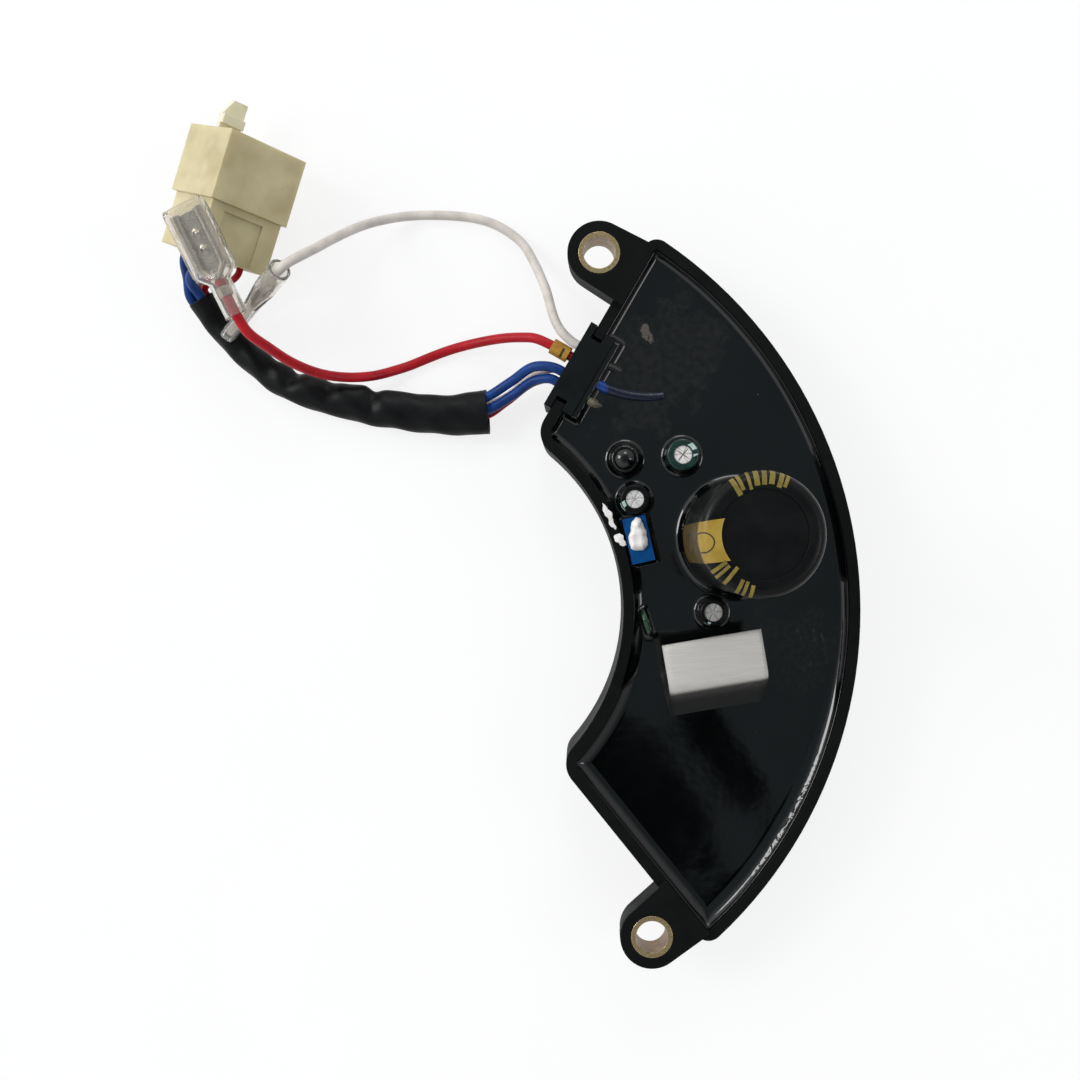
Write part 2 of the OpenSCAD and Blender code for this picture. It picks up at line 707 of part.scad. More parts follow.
// frame on the leg's inner face: x across it, y down it, z away from it
module on_leg() {
    at_sink() translate([sink_w / 2, bend_at.x, bend_at.y]) rotate([180 + sink_slope, 0, 0])
        translate([0, 0, sink_t - sink_bend_r]) children();
}
module power_transistor() {
    color([0.12, 0.12, 0.12]) on_leg() translate([-transistor_w / 2, 1, 0]) {
        difference() {
            cube([transistor_w, tab_l, tab_t]);
            translate([transistor_w / 2, tab_hole, -1]) cylinder(d = tab_screw_d + 0.2, h = tab_t + 2);
        }
        translate([0, tab_l - tiny, 0]) cube([transistor_w, package_l, package_t]);
        for (i = [-1, 0, 1])
            translate([transistor_w / 2 + 2.54 * i - 0.4, tab_l + package_l - 2 * tiny, package_t / 2])
            cube([0.8, 2, 0.5]);
    }
}
module transistor_screw() {
    color([0.6, 0.6, 0.62]) on_leg() translate([0, 1 + tab_hole, 0]) {
        cylinder(d = tab_screw_d, h = tab_t);
        translate([0, 0, tab_t]) cylinder(d = 1.8 * tab_screw_d, h = 0.6 * tab_screw_d);
    }
}

// a part on bent wire legs, held clear of the board
module axial(d, l, wire, reach) {
    z = d / 2 + axial_lift;
    translate([-l / 2, 0, z]) rotate([0, 90, 0]) cylinder(d = d, h = l);
    translate([-l / 2 - reach, 0, z]) rotate([0, 90, 0]) cylinder(d = wire, h = l + 2 * reach, $fn = 24);
    for (s = [-1, 1]) translate([s * (l / 2 + reach), 0, 0])
        cylinder(d = wire + 0.1, h = z + wire / 2 + 0.1, $fn = 24);
}
module rectifier_diodes() {
    color([0.1, 0.1, 0.1]) for (a = diode_angles) on_board(polar(mid_r + 9, a)) rotate([0, 0, a])
        axial(diode_d, diode_l, diode_wire, wire_reach);
}
module resistors() {
    color([0.55, 0.45, 0.32]) for (a = resistor_angles) on_board(polar(mid_r, a)) rotate([0, 0, a])
        axial(resistor_d, resistor_l, resistor_wire, wire_reach);
}
module control_chip() {
    leg = [0.6, 0.8, 2];
    color([0.1, 0.1, 0.1]) on_board(chip_at) {
        translate([-chip_l / 2, -chip_w / 2, 0.5]) cube([chip_l, chip_w, chip_h]);
        for (i = [-1.5:1.5], s = [-1, 1])
            translate([2.54 * i - leg.x / 2, s * (chip_w + leg.y - 0.1) / 2 - leg.y / 2, 0])
            cube(leg);
    }
}

// leads inside the tray, half sunk in the resin
module inner_blue_lead() {
    color([0.08, 0.24, 0.55]) at_end_wall()
        translate([gland_at - 0.4, gland_back - gland_gap, resin_z + 0.5])
        rotate([5, 0, 0]) translate([inner_bend_r, 0, 0]) rotate([0, 0, 180]) rotate_extrude(angle = 38)
            translate([inner_bend_r, 0]) circle(d = blue_d, $fn = 32);
}
module inner_white_leads() {
    color([0.92, 0.9, 0.86]) at_end_wall() for (x = [gland_at + 4.1, gland_at - 4.3])
        translate([x, gland_back - 0.4, resin_z + 0.33]) rotate(stub_turn)
            cylinder(d = white_d, h = stub_l, $fn = 32);
}

module white_lead() {
    color([0.92, 0.9, 0.87]) lead(white_route, white_d);
}
module red_lead() {
    color([0.78, 0.12, 0.16]) lead(red_route, red_d);
}
module blue_lead_a() {
    color([0.1, 0.3, 0.63]) lead(blue_route_a, blue_d);
}
module blue_lead_b() {
    color([0.1, 0.3, 0.63]) lead(blue_route_b, blue_d);
}
module thin_red_lead() {
    color([0.78, 0.12, 0.16]) lead(thin_red_route, thin_d);
}
module thin_white_lead() {
    color([0.92, 0.9, 0.87]) lead(thin_white_route, thin_d);
}
module lead_marker() {
    dir = unit(red_route[1] - red_route[0]);
    from = red_route[0] + 1.2 * dir;
    bore_r = red_d / 2 + 0.1;
    color([0.75, 0.55, 0.16]) difference() {
        tube([from, from + marker_l * dir], [marker_d / 2, marker_d / 2], [1, 1], 16);
        tube([from - dir, from + (marker_l + 1) * dir], [bore_r, bore_r], [1, 1], 16);
    }
}
module harness_sleeve() {
    color([0.1, 0.1, 0.1]) tube(sleeve_route, sleeve_radii, sleeve_flat, 16);
}
// a tail leaves the sleeve's end at a place across and up, passes the points between,
// and enters the plug's back at y, z
module tail(across, up, between, y, z, d) {
    side = unit(cross([0, 0, 1], sleeve_dir));
    from = sleeve_end + tail_spread * (across * side + up * cross(sleeve_dir, side));
    entry = plug_point([-plug_l, y * slot_pitch, z * slot_pitch]);
    before = plug_point([-plug_l - 1.2, y * slot_pitch, z * slot_pitch]);
    lead(concat([from, from + sleeve_dir], between, [before, entry]), d);
}
module blue_tails() {
    color([0.1, 0.3, 0.63]) {
        tail(-0.25, 1, [[-85.7, 71.9, 0.1], [-82.4, 74.5, 5.6]], 1, 1, blue_d);
        tail(1.2, 0, [[-87.1, 73.5, -2.4]], 1, -1, blue_d);
    }
}
module thin_red_tail() {
    color([0.78, 0.12, 0.16]) tail(-1, 0, [[-83.1, 72.4, -2.9], [-82.1, 73.1, -1.8], [-80.5, 72.3, -0.3],
        [-77.4, 71.6, 0.7]], -1, 1, thin_d);
}
module thin_white_tail() {
    color([0.92, 0.9, 0.87]) tail(0, -1, [[-85.7, 72.6, -5.3], [-83.5, 74.8, -5]], -1, -1, thin_d);
}

// connector: its front face lies at x = 0 and it reaches back along -x
module at_plug() {
    translate(plug_at) rotate(plug_turn) children();
}
module contact_slots() {
    for (y = [-1, 1], z = [-1, 1]) translate([0, y * slot_pitch, z * slot_pitch]) children();
}
module connector_housing() {
    s = plug_side;
    color([0.87, 0.84, 0.7]) at_plug() {
        difference() {
            union() {
                translate([-plug_front_l, -s / 2, -s / 2]) cube([plug_front_l, s, s]);
                translate([-plug_l, -rear_side / 2, -rear_side / 2])
                    cube([plug_rear_l + 1, rear_side, rear_side]);
            }
            contact_slots() translate([-slot_depth, -slot_w / 2, -slot_h / 2])
                cube([slot_depth + 1, slot_w, slot_h]);
            translate([-plug_l - 1, 1.2 - panel_w / 2 - plug_step, rear_side / 2 - panel_depth])
                cube([plug_rear_l - 0.6, panel_w, 1]);
        }
        latch();
    }
}
// latch: a springy tongue held at the back, with a hook at its tip
module latch() {
    low = -plug_side / 2 - latch_t - 0.8;
    w = latch_w;
    root = -plug_front_l + 2;
    translate([0, 0, low]) linear_extrude(latch_t) polygon([[root, -w / 2], [latch_reach, -w / 2],
        [latch_reach, w / 8], [latch_reach - 3.4, w / 2], [root, w / 2]]);
    translate([root, -w / 2, low]) cube([2, w, latch_t + 1.2]);
    translate([latch_reach - 5.4, -w / 2, low]) cube([2, w, latch_t + 1]);
}
module connector_contacts() {
    color([0.8, 0.72, 0.5]) at_plug() contact_slots() translate([-slot_depth, -blade_w / 2, -blade_t / 2])
        cube([slot_depth - 1.5, blade_w, blade_t]);
}

// push-on terminal and its clear cover: the lead enters at x = 0, the mouth faces +x
module terminal(lead_d) {
    crimp_r = lead_d / 2 + term_t;
    translate([crimp_from, 0, 0]) rotate([0, 90, 0]) difference() {
        cylinder(r = crimp_r, h = crimp_l, $fn = 32);
        translate([0, 0, -1]) cylinder(d = lead_d, h = crimp_l + 2, $fn = 32);
    }
    translate([crimp_from, -0.8, -crimp_r]) cube([lead_in + 0.4 - crimp_from, 1.6, term_t]);
    translate([lead_in, 0, 0]) rotate([0, 90, 0])
        cylinder(r = roll_r + 0.15, h = cover_from + 0.4 - lead_in, $fn = 32);
    translate([cover_from - 0.2, 0, -roll_r]) {
        translate([0, -term_w / 2, 0]) cube([term_l, term_w, term_t]);
        for (s = [-1, 1]) translate([0, s * (term_w / 2 - roll_r), roll_r]) rotate([0, 90, 0])
            difference() {
            cylinder(r = roll_r, h = term_l, $fn = 32);
            translate([0, 0, -1]) cylinder(r = roll_r - term_t, h = term_l + 2, $fn = 32);
        }
    }
}
module cover() {
    inner_w = mouth_w - 2 * cover_t;
    inner_t = mouth_t - 2 * cover_t;
    difference() {
        union() {
            rotate([0, 90, 0]) cylinder(d = neck_d, h = cover_from - 1, $fn = 32);
            translate([cover_from, -mouth_w / 2, -mouth_t / 2]) cube([cover_l, mouth_w, mouth_t]);
            translate([cover_from, 0, -mouth_t / 2]) linear_extrude(mouth_t)
                polygon([[-2.6, -neck_d / 2], [tiny, -mouth_w / 2], [tiny, mouth_w / 2], [-2.6, neck_d / 2]]);
        }
        translate([-1, 0, 0]) rotate([0, 90, 0])
            cylinder(d = neck_d - 2 * cover_t, h = cover_from - 0.5, $fn = 32);
        translate([cover_from, -inner_w / 2, -inner_t / 2]) cube([cover_l + 1, inner_w, inner_t]);
        translate([cover_from, 0, -inner_t / 2]) linear_extrude(inner_t)
            polygon([[-2.6, -neck_d / 2 + cover_t],
            [tiny, -inner_w / 2], [tiny, inner_w / 2], [-2.6, neck_d / 2 - cover_t]]);
    }
}
module red_terminal() {
    color([0.7, 0.68, 0.64]) translate(red_term_at) rotate(red_term_turn) terminal(red_d);
}
module red_terminal_cover() {
    color([0.85, 0.85, 0.85, 0.5]) translate(red_term_at) rotate(red_term_turn) cover();
}
module white_terminal() {
    color([0.7, 0.68, 0.64]) translate(white_term_at) rotate(white_term_turn) terminal(white_d);
}
module white_terminal_cover() {
    color([0.85, 0.85, 0.85, 0.5]) translate(white_term_at) rotate(white_term_turn) cover();
}

housing();
upper_bush();
lower_bush();
wire_gland();
circuit_board();
potting_resin();
main_capacitor_can();
main_capacitor_disc();
main_capacitor_sleeve();
green_capacitor_can();
green_capacitor_sleeve();
black_capacitor_can();
black_capacitor_sleeve();
lower_capacitor_can();
lower_capacitor_sleeve();
coated_capacitor();
trimmer_body();
trimmer_screw();
trimmer_seal();
film_capacitor();
heat_sink();
power_transistor();
transistor_screw();
rectifier_diodes();
resistors();
control_chip();
inner_blue_lead();
inner_white_leads();
white_lead();
red_lead();
lead_marker();
blue_lead_a();
blue_lead_b();
thin_red_lead();
thin_white_lead();
harness_sleeve();
blue_tails();
thin_red_tail();
thin_white_tail();
connector_housing();
connector_contacts();
red_terminal();
red_terminal_cover();
white_terminal();
white_terminal_cover();
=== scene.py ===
"""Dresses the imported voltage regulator: leads, sleeve, resin, paint, prints and every finish.

Lengths below are in millimetres in the part's own frame (origin midway between the fixing holes,
+Z out of the open side) and become metres where a mesh is made.
"""
import json
import math

import bpy
import numpy as np
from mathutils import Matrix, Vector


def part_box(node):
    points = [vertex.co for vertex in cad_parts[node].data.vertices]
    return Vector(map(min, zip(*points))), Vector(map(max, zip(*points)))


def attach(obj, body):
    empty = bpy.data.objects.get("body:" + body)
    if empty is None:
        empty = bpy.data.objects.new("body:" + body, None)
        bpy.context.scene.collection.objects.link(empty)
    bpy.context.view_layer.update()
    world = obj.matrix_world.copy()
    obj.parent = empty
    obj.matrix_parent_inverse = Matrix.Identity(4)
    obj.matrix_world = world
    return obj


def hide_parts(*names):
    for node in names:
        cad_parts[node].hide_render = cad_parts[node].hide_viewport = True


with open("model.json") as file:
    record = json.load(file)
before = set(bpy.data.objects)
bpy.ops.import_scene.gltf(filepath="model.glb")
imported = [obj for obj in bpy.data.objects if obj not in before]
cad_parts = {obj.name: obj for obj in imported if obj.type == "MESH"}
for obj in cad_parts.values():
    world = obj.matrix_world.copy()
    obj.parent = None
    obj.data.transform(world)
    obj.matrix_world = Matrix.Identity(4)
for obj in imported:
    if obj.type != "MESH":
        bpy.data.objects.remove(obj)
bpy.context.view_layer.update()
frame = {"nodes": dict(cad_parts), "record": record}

nodes = frame["nodes"]
MM = 0.001

# tray
HUB = np.array([-43.3, 0.0])
OUTER_R, INNER_R, WALL = 91.3, 42.8, 2.2
END_SLOPE = math.radians(55.5)
END_OFFSET = 3.3
RIM_Z, RESIN_Z, TRAY_FLOOR_Z, BACK_Z = 7.0, 4.0, -8.0, -10.0

# gland
GLAND_FACE = -1.7
GLAND_AT, GLAND_BACK, GLAND_HALF = 59.6, -7.8, 9.0

# parts in the tray
TRIMMER_AT, TRIMMER_TURN, TRIMMER_HALF = (3.6, 11.0), math.radians(8.7), (2.4, 4.75)
FILM_AT, FILM_TURN = (3.9, -6.0), math.radians(14)
STRIPE_ANGLE, STRIPE_HALF = 183.5, 3.8

# leads
WHITE_D, RED_D, BLUE_D, THIN_D = 2.0, 2.1, 2.1, 1.4
LEAD_IN = 7.6
RED_EXIT, MARKER_R = 62, 1.72
PLUG_AT, PLUG_TURN = np.array([-70.5, 99.2, 3.8]), (47.0, -5.0, 67.0)
PLUG_L, SLOT_PITCH, SLOT_RUN = 25.0, 4.1, 1.2
TAIL_SPREAD, SLEEVE_WALL = 1.5, 0.35
RED_TERM_AT, RED_TERM_TURN = np.array([-73.2, 61.6, 13.6]), (-8.0, -8.0, 110.5)
CRIMP_FROM, CRIMP_L = 4.2, 2.0
TERM_W, TERM_T, ROLL_R = 7.1, 0.4, 1.0
NECK_D, COVER_FROM, COVER_END = 4.6, 9.6, 23.6
MOUTH_W, MOUTH_T, COVER_T = 9.0, 3.4, 0.5
SOCKET_END = 22.2
WHITE_TERM_AT, WHITE_TERM_TURN = np.array([-64.0, 70.2, 13.5]), (63.0, 47.0, 207.0)


# surfaces

def put_mesh(name, points, faces):
    """Smooth-shaded mesh object at the origin from points in millimetres."""
    mesh = bpy.data.meshes.new(name)
    mesh.from_pydata((np.asarray(points) * MM).tolist(), [], faces)
    mesh.polygons.foreach_set("use_smooth", np.ones(len(mesh.polygons), dtype=bool))
    mesh.update()
    piece = bpy.data.objects.new(name, mesh)
    bpy.context.scene.collection.objects.link(piece)
    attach(piece, "root")
    return piece


def ring_faces(rows, sides):
    """Quads between neighbouring rings of a grid of rows by sides points, each ring closed on itself."""
    index = np.arange(rows * sides).reshape(rows, sides)
    after = np.roll(index, -1, axis=1)
    return np.stack([index[:-1], index[1:], after[1:], after[:-1]], axis=-1).reshape(-1, 4).tolist()


def sheet_faces(rows, columns):
    """Quads of an open grid of rows by columns points."""
    index = np.arange(rows * columns).reshape(rows, columns)
    corners = [index[:-1, :-1], index[1:, :-1], index[1:, 1:], index[:-1, 1:]]
    return np.stack(corners, axis=-1).reshape(-1, 4).tolist()


def smooth_route(points, count):
    """Cubic Hermite through the points, with slopes by chord length, then stepped evenly along it."""
    p = np.asarray(points, dtype=float)
    t = np.concatenate([[0], np.cumsum(np.linalg.norm(np.diff(p, axis=0), axis=1))])
    slope = np.gradient(p, t, axis=0)
    fine = np.linspace(0, t[-1], 40 * len(p))
    i = np.clip(np.searchsorted(t, fine, side="right") - 1, 0, len(p) - 2)
    step = (t[i + 1] - t[i])[:, None]
    s = ((fine - t[i]) / step[:, 0])[:, None]
    curve = ((1 + 2 * s) * (1 - s) ** 2 * p[i] + s * (1 - s) ** 2 * step * slope[i]
             + s ** 2 * (3 - 2 * s) * p[i + 1] + s ** 2 * (s - 1) * step * slope[i + 1])
    run = np.concatenate([[0], np.cumsum(np.linalg.norm(np.diff(curve, axis=0), axis=1))])
    even = np.linspace(0, run[-1], count)
    return np.stack([np.interp(even, run, curve[:, k]) for k in range(3)], axis=1)


def route_frames(route):
    """Unit tangent by central differences, side = level normal to it, up = tangent x side, at each point."""
    tangent = np.gradient(route, axis=0)
    tangent /= np.linalg.norm(tangent, axis=1, keepdims=True)
    side = np.cross([0.0, 0.0, 1.0], tangent)
    side /= np.linalg.norm(side, axis=1, keepdims=True)
    return tangent, side, np.cross(tangent, side)


def swept(name, route, radius, sides=24):
    """Ring carried along a route: route(s) + radius (cos a side + sin a up), with both ends closed."""
    _, side, up = route_frames(route)
    a = np.linspace(2 * np.pi, 0, sides, endpoint=False)
    points = route[:, None] + radius * (np.cos(a)[:, None] * side[:, None] + np.sin(a)[:, None] * up[:, None])
    n = len(route)
    faces = ring_faces(n, sides)
    faces.append(list(range(sides)))
    faces.append(list(range(n * sides - 1, (n - 1) * sides - 1, -1)))
    return put_mesh(name, points.reshape(-1, 3), faces)


def turned(p, turn):
    """Point, or array of points, turned about x, then y, then z, by the degrees in turn."""
    (cx, cy, cz), (sx, sy, sz) = np.cos(np.radians(turn)), np.sin(np.radians(turn))
    about_x = np.array([[1, 0, 0], [0, cx, -sx], [0, sx, cx]])
    about_y = np.array([[cy, 0, sy], [0, 1, 0], [-sy, 0, cy]])
    about_z = np.array([[cz, -sz, 0], [sz, cz, 0], [0, 0, 1]])
    return np.asarray(p, dtype=float) @ (about_z @ about_y @ about_x).T


def closed_rings(rings):
    """Points and quads of rings joined in order and back to the first: the wall of a hollow tube."""
    index = np.arange(rings.shape[0] * rings.shape[1]).reshape(rings.shape[:2])
    ahead = np.roll(index, -1, axis=0)
    faces = np.stack([index, np.roll(index, -1, axis=1), np.roll(ahead, -1, axis=1), ahead], axis=-1)
    return rings.reshape(-1, 3), faces.reshape(-1, 4).tolist()


def thick_sheet(middle, thickness):
    """Points and quads of a sheet: its middle surface moved half its thickness each way, and its edges."""
    normal = np.cross(np.gradient(middle, axis=0), np.gradient(middle, axis=1))
    normal *= thickness / 2 / np.linalg.norm(normal, axis=-1, keepdims=True)
    index = np.arange(middle.shape[0] * middle.shape[1]).reshape(middle.shape[:2])
    upper = sheet_faces(*index.shape)
    lower = (np.array(upper)[:, ::-1] + index.size).tolist()
    rim = np.concatenate([index[0, :-1], index[:-1, -1], index[-1, :0:-1], index[:0:-1, 0]])
    after = np.roll(rim, -1)
    edge = np.stack([rim, after, after + index.size, rim + index.size], axis=-1).tolist()
    return np.concatenate([middle + normal, middle - normal]).reshape(-1, 3), upper + lower + edge


def joined(*shapes):
    """Several (points, faces) as one."""
    points, faces, count = [], [], 0
    for more_points, more_faces in shapes:
        points.append(more_points)
        faces += [[i + count for i in face] for face in more_faces]
        count += len(more_points)
    return np.concatenate(points), faces


# materials

def srgb(red, green, blue):
    """Colour as seen, 0 to 255, as the linear colour a shader takes."""
    c = np.array([red, green, blue]) / 255
    return tuple(np.where(c <= 0.04045, c / 12.92, ((c + 0.055) / 1.055) ** 2.4)) + (1.0,)


class Finish:
    """One node material: a principled shader with named helpers that add the nodes a finish needs."""

    def __init__(self, name, **sockets):
        self.material = bpy.data.materials.new(name)
        self.material.use_nodes = True
        self.tree = self.material.node_tree
        self.shader = self.tree.nodes["Principled BSDF"]
        self.coords = self.add("ShaderNodeTexCoord")
        self.set(**sockets)

    def add(self, kind, **props):
        node = self.tree.nodes.new(kind)
        for key, value in props.items():
            setattr(node, key, value)
        return node

    def link(self, source, target):
        self.tree.links.new(source, target)

    def set(self, **sockets):
        for key, value in sockets.items():
            self.shader.inputs[key.replace("_", " ")].default_value = value

    def place(self, stretch=(1, 1, 1), turn=(0, 0, 0), shift=(0, 0, 0)):
        """Object coordinates in millimetres, stretched, turned and shifted."""
        mapping = self.add("ShaderNodeMapping")
        mapping.inputs["Location"].default_value = shift
        mapping.inputs["Rotation"].default_value = turn
        mapping.inputs["Scale"].default_value = [1000 * s for s in stretch]
        self.link(self.coords.outputs["Object"], mapping.inputs["Vector"])
        return mapping.outputs["Vector"]

    def noise(self, size, detail=4.0, rough=0.55, stretch=(1, 1, 1), turn=(0, 0, 0)):
        """Soft noise whose blobs are about size millimetres across."""
        node = self.add("ShaderNodeTexNoise")
        node.inputs["Scale"].default_value = 1 / size
        node.inputs["Detail"].default_value = detail
        node.inputs["Roughness"].default_value = rough
        self.link(self.place(stretch, turn), node.inputs["Vector"])
        return node.outputs["Fac"]

    def specks(self, size, width, strength):
        """Scattered dots about size millimetres apart, width of that across."""
        node = self.add("ShaderNodeTexVoronoi")
        node.inputs["Scale"].default_value = 1 / size
        self.link(self.place(), node.inputs["Vector"])
        return self.range(node.outputs["Distance"], width, 0.6 * width, 0.0, strength)

    def ramp(self, value, *stops):
        """Colour by value: stops are (place, colour)."""
        node = self.add("ShaderNodeValToRGB")
        while len(node.color_ramp.elements) < len(stops):
            node.color_ramp.elements.new(0.5)
        for element, (place, colour) in zip(node.color_ramp.elements, stops):
            element.position = place
            element.color = colour
        self.link(value, node.inputs["Fac"])
        return node.outputs["Color"]

    def range(self, value, low, high, to_low, to_high, smooth=False):
        node = self.add("ShaderNodeMapRange")
        if smooth:
            node.interpolation_type = "SMOOTHSTEP"
        for key, number in zip(("From Min", "From Max", "To Min", "To Max"), (low, high, to_low, to_high)):
            node.inputs[key].default_value = number
        self.link(value, node.inputs["Value"])
        return node.outputs["Result"]

    def math(self, operation, a, b):
        node = self.add("ShaderNodeMath", operation=operation)
        for socket, value in zip(node.inputs, (a, b)):
            if isinstance(value, (int, float)):
                socket.default_value = value
            else:
                self.link(value, socket)
        return node.outputs["Value"]

    def over(self, mask, under, top):
        """Top colour laid over the colour under it where mask is 1."""
        node = self.add("ShaderNodeMix", data_type="RGBA")
        self.link(mask, node.inputs["Factor"])
        for socket, value in ((node.inputs["A"], under), (node.inputs["B"], top)):
            if isinstance(value, tuple):
                socket.default_value = value
            else:
                self.link(value, socket)
        return node.outputs["Result"]

    def axis(self, which, **where):
        node = self.add("ShaderNodeSeparateXYZ")
        self.link(self.place(**where), node.inputs["Vector"])
        return node.outputs[which]

    def spot(self, middle, half, turn=0.0, ragged=0.5, size=2.0):
        """About 1 inside a flat oval of half sizes half at middle, turned in plan, with a ragged edge."""
        c, s = math.cos(turn), math.sin(turn)
        x = self.axis("X", turn=(0, 0, -turn), shift=(-(c * middle[0] + s * middle[1]), 0, 0))
        y = self.axis("Y", turn=(0, 0, -turn), shift=(0, -(c * middle[1] - s * middle[0]), 0))
        u, v = self.math("DIVIDE", x, half[0]), self.math("DIVIDE", y, half[1])
        away = self.math("ADD", self.math("MULTIPLY", u, u), self.math("MULTIPLY", v, v))
        rough_edge = self.math("ADD", away, self.range(self.noise(size), 0.3, 0.7, -ragged, ragged))
        return self.range(rough_edge, 1.0, 0.6, 0.0, 1.0, smooth=True)

    def colour(self, output):
        self.link(output, self.shader.inputs["Base Color"])

    def gloss(self, output):
        self.link(output, self.shader.inputs["Roughness"])

    def relief(self, height, depth, edge=0.0):
        """Bump of depth millimetres from height, on edges softened by edge millimetres."""
        node = self.add("ShaderNodeBump")
        node.inputs["Strength"].default_value = 1.0
        node.inputs["Distance"].default_value = depth * MM
        self.link(height, node.inputs["Height"])
        if edge:
            self.link(self.soft_edge(edge), node.inputs["Normal"])
        self.link(node.outputs["Normal"], self.shader.inputs["Normal"])

    def soft_edge(self, edge):
        node = self.add("ShaderNodeBevel", samples=6)
        node.inputs["Radius"].default_value = edge * MM
        return node.outputs["Normal"]

    def wear(self, edge):
        """About 1 on sharp edges and 0 elsewhere: how far the softened normal leaves the true one."""
        geometry = self.add("ShaderNodeNewGeometry")
        dot = self.add("ShaderNodeVectorMath", operation="DOT_PRODUCT")
        self.link(self.soft_edge(edge), dot.inputs[0])
        self.link(geometry.outputs["True Normal"], dot.inputs[1])
        return self.range(dot.outputs["Value"], 0.98, 0.75, 0.0, 1.0)


def moulded_black(name, dark, light, edge=0.3):
    """Matte filled moulding: fine grain, cloudy sheen, and edges rubbed a little paler."""
    f = Finish(name, Specular_IOR_Level=0.1)
    cloud = f.noise(6.0, 5.0)
    base = f.ramp(cloud, (0.3, srgb(*dark)), (0.75, srgb(*light)))
    rub = f.math("MULTIPLY", f.wear(edge), f.range(f.noise(1.5), 0.35, 0.7, 0.05, 0.5))
    f.colour(f.over(rub, base, srgb(46, 50, 51)))
    f.gloss(f.range(cloud, 0.3, 0.7, 0.52, 0.68))
    f.relief(f.noise(0.35, 3.0), 0.03, edge)
    return f


def lead_cover(name, dark, light):
    """Soft lead insulation: a slow change of shade along the lead, fine dust and a waxy sheen."""
    f = Finish(name, Specular_IOR_Level=0.22)
    shade = f.noise(4.0, 4.0)
    dust = f.range(f.noise(0.5, 2.0), 0.6, 0.75, 0.0, 0.1)
    pale = srgb(*[(c + 150) / 2 for c in light])
    f.colour(f.over(dust, f.ramp(shade, (0.3, srgb(*dark)), (0.7, srgb(*light))), pale))
    f.gloss(f.range(shade, 0.3, 0.7, 0.34, 0.5))
    f.relief(f.noise(0.8, 3.0), 0.03)
    return f


def rolled_metal(name, dark, light, rough, stretch, turn=0.0, edge=0.15, metal=1.0):
    """Sheet or turned metal: fine streaks along one way, a few dark scratches, even gloss."""
    f = Finish(name, Metallic=metal)
    streak = f.noise(0.5, 6.0, 0.75, stretch, (0, 0, turn))
    scratch = f.range(f.noise(1.1, 2.0, 0.5, stretch, (0, 0, turn + 0.3)), 0.7, 0.76, 0.0, 0.5)
    brushed = f.ramp(streak, (0.25, srgb(*dark)), (0.75, srgb(*light)))
    f.colour(f.over(scratch, brushed, srgb(*[c * 0.7 for c in dark])))
    f.gloss(f.range(f.noise(3.0), 0.3, 0.7, rough - 0.03, rough + 0.04))
    f.relief(streak, 0.012, edge)
    return f


def folded_sheet():
    """Bent aluminium: pale and brushed where flat, mirror-like where it turns down, painted shade at its
    foot.
    """
    f = Finish("sheet_aluminium")
    streak = f.noise(0.5, 6.0, 0.75, (0.05, 3, 3), (0, 0, 0.09))
    scratch = f.range(f.noise(1.1, 2.0, 0.5, (0.05, 3, 3), (0, 0, 0.39)), 0.7, 0.76, 0.0, 0.5)
    brushed = f.ramp(streak, (0.25, srgb(186, 182, 176)), (0.75, srgb(216, 212, 207)))
    metal = f.over(scratch, brushed, srgb(120, 116, 110))
    # painted shade: the colour is darkened towards the foot of the sheet, lower in Z
    f.colour(f.over(f.range(f.axis("Z"), 17.5, 12.0, 0.0, 0.7, smooth=True), metal, srgb(84, 88, 90)))
    way = f.add("ShaderNodeSeparateXYZ")
    f.link(f.soft_edge(2.2), way.inputs["Vector"])
    flat = f.range(way.outputs["Z"], 0.3, 0.9, 0.0, 1.0, smooth=True)
    f.link(f.range(flat, 0.0, 1.0, 1.0, 0.2), f.shader.inputs["Metallic"])
    f.gloss(f.range(flat, 0.0, 1.0, 0.24, 0.45))
    f.relief(streak, 0.012, 2.2)
    return f


def turned_brass():
    """Turned bush: bright ringed end faces, and a dull bore painted darker brown as painted shade."""
    f = Finish("turned_brass", Metallic=0.85)
    ring = f.noise(0.5, 6.0, 0.75, (1, 1, 6))
    face = f.ramp(ring, (0.25, srgb(158, 128, 82)), (0.75, srgb(232, 208, 160)))
    way = f.add("ShaderNodeSeparateXYZ")
    f.link(f.add("ShaderNodeNewGeometry").outputs["True Normal"], way.inputs["Vector"])
    bore = f.range(f.math("ABSOLUTE", way.outputs["Z"], 0.0), 0.8, 0.4, 0.0, 1.0)
    # painted shade: the bore's wall is painted a darker brown than the end faces
    f.colour(f.over(bore, face, f.ramp(f.noise(1.5), (0.3, srgb(108, 82, 56)), (0.7, srgb(156, 126, 92)))))
    f.gloss(f.range(bore, 0.0, 1.0, 0.24, 0.42))
    f.relief(ring, 0.012, 0.15)
    return f


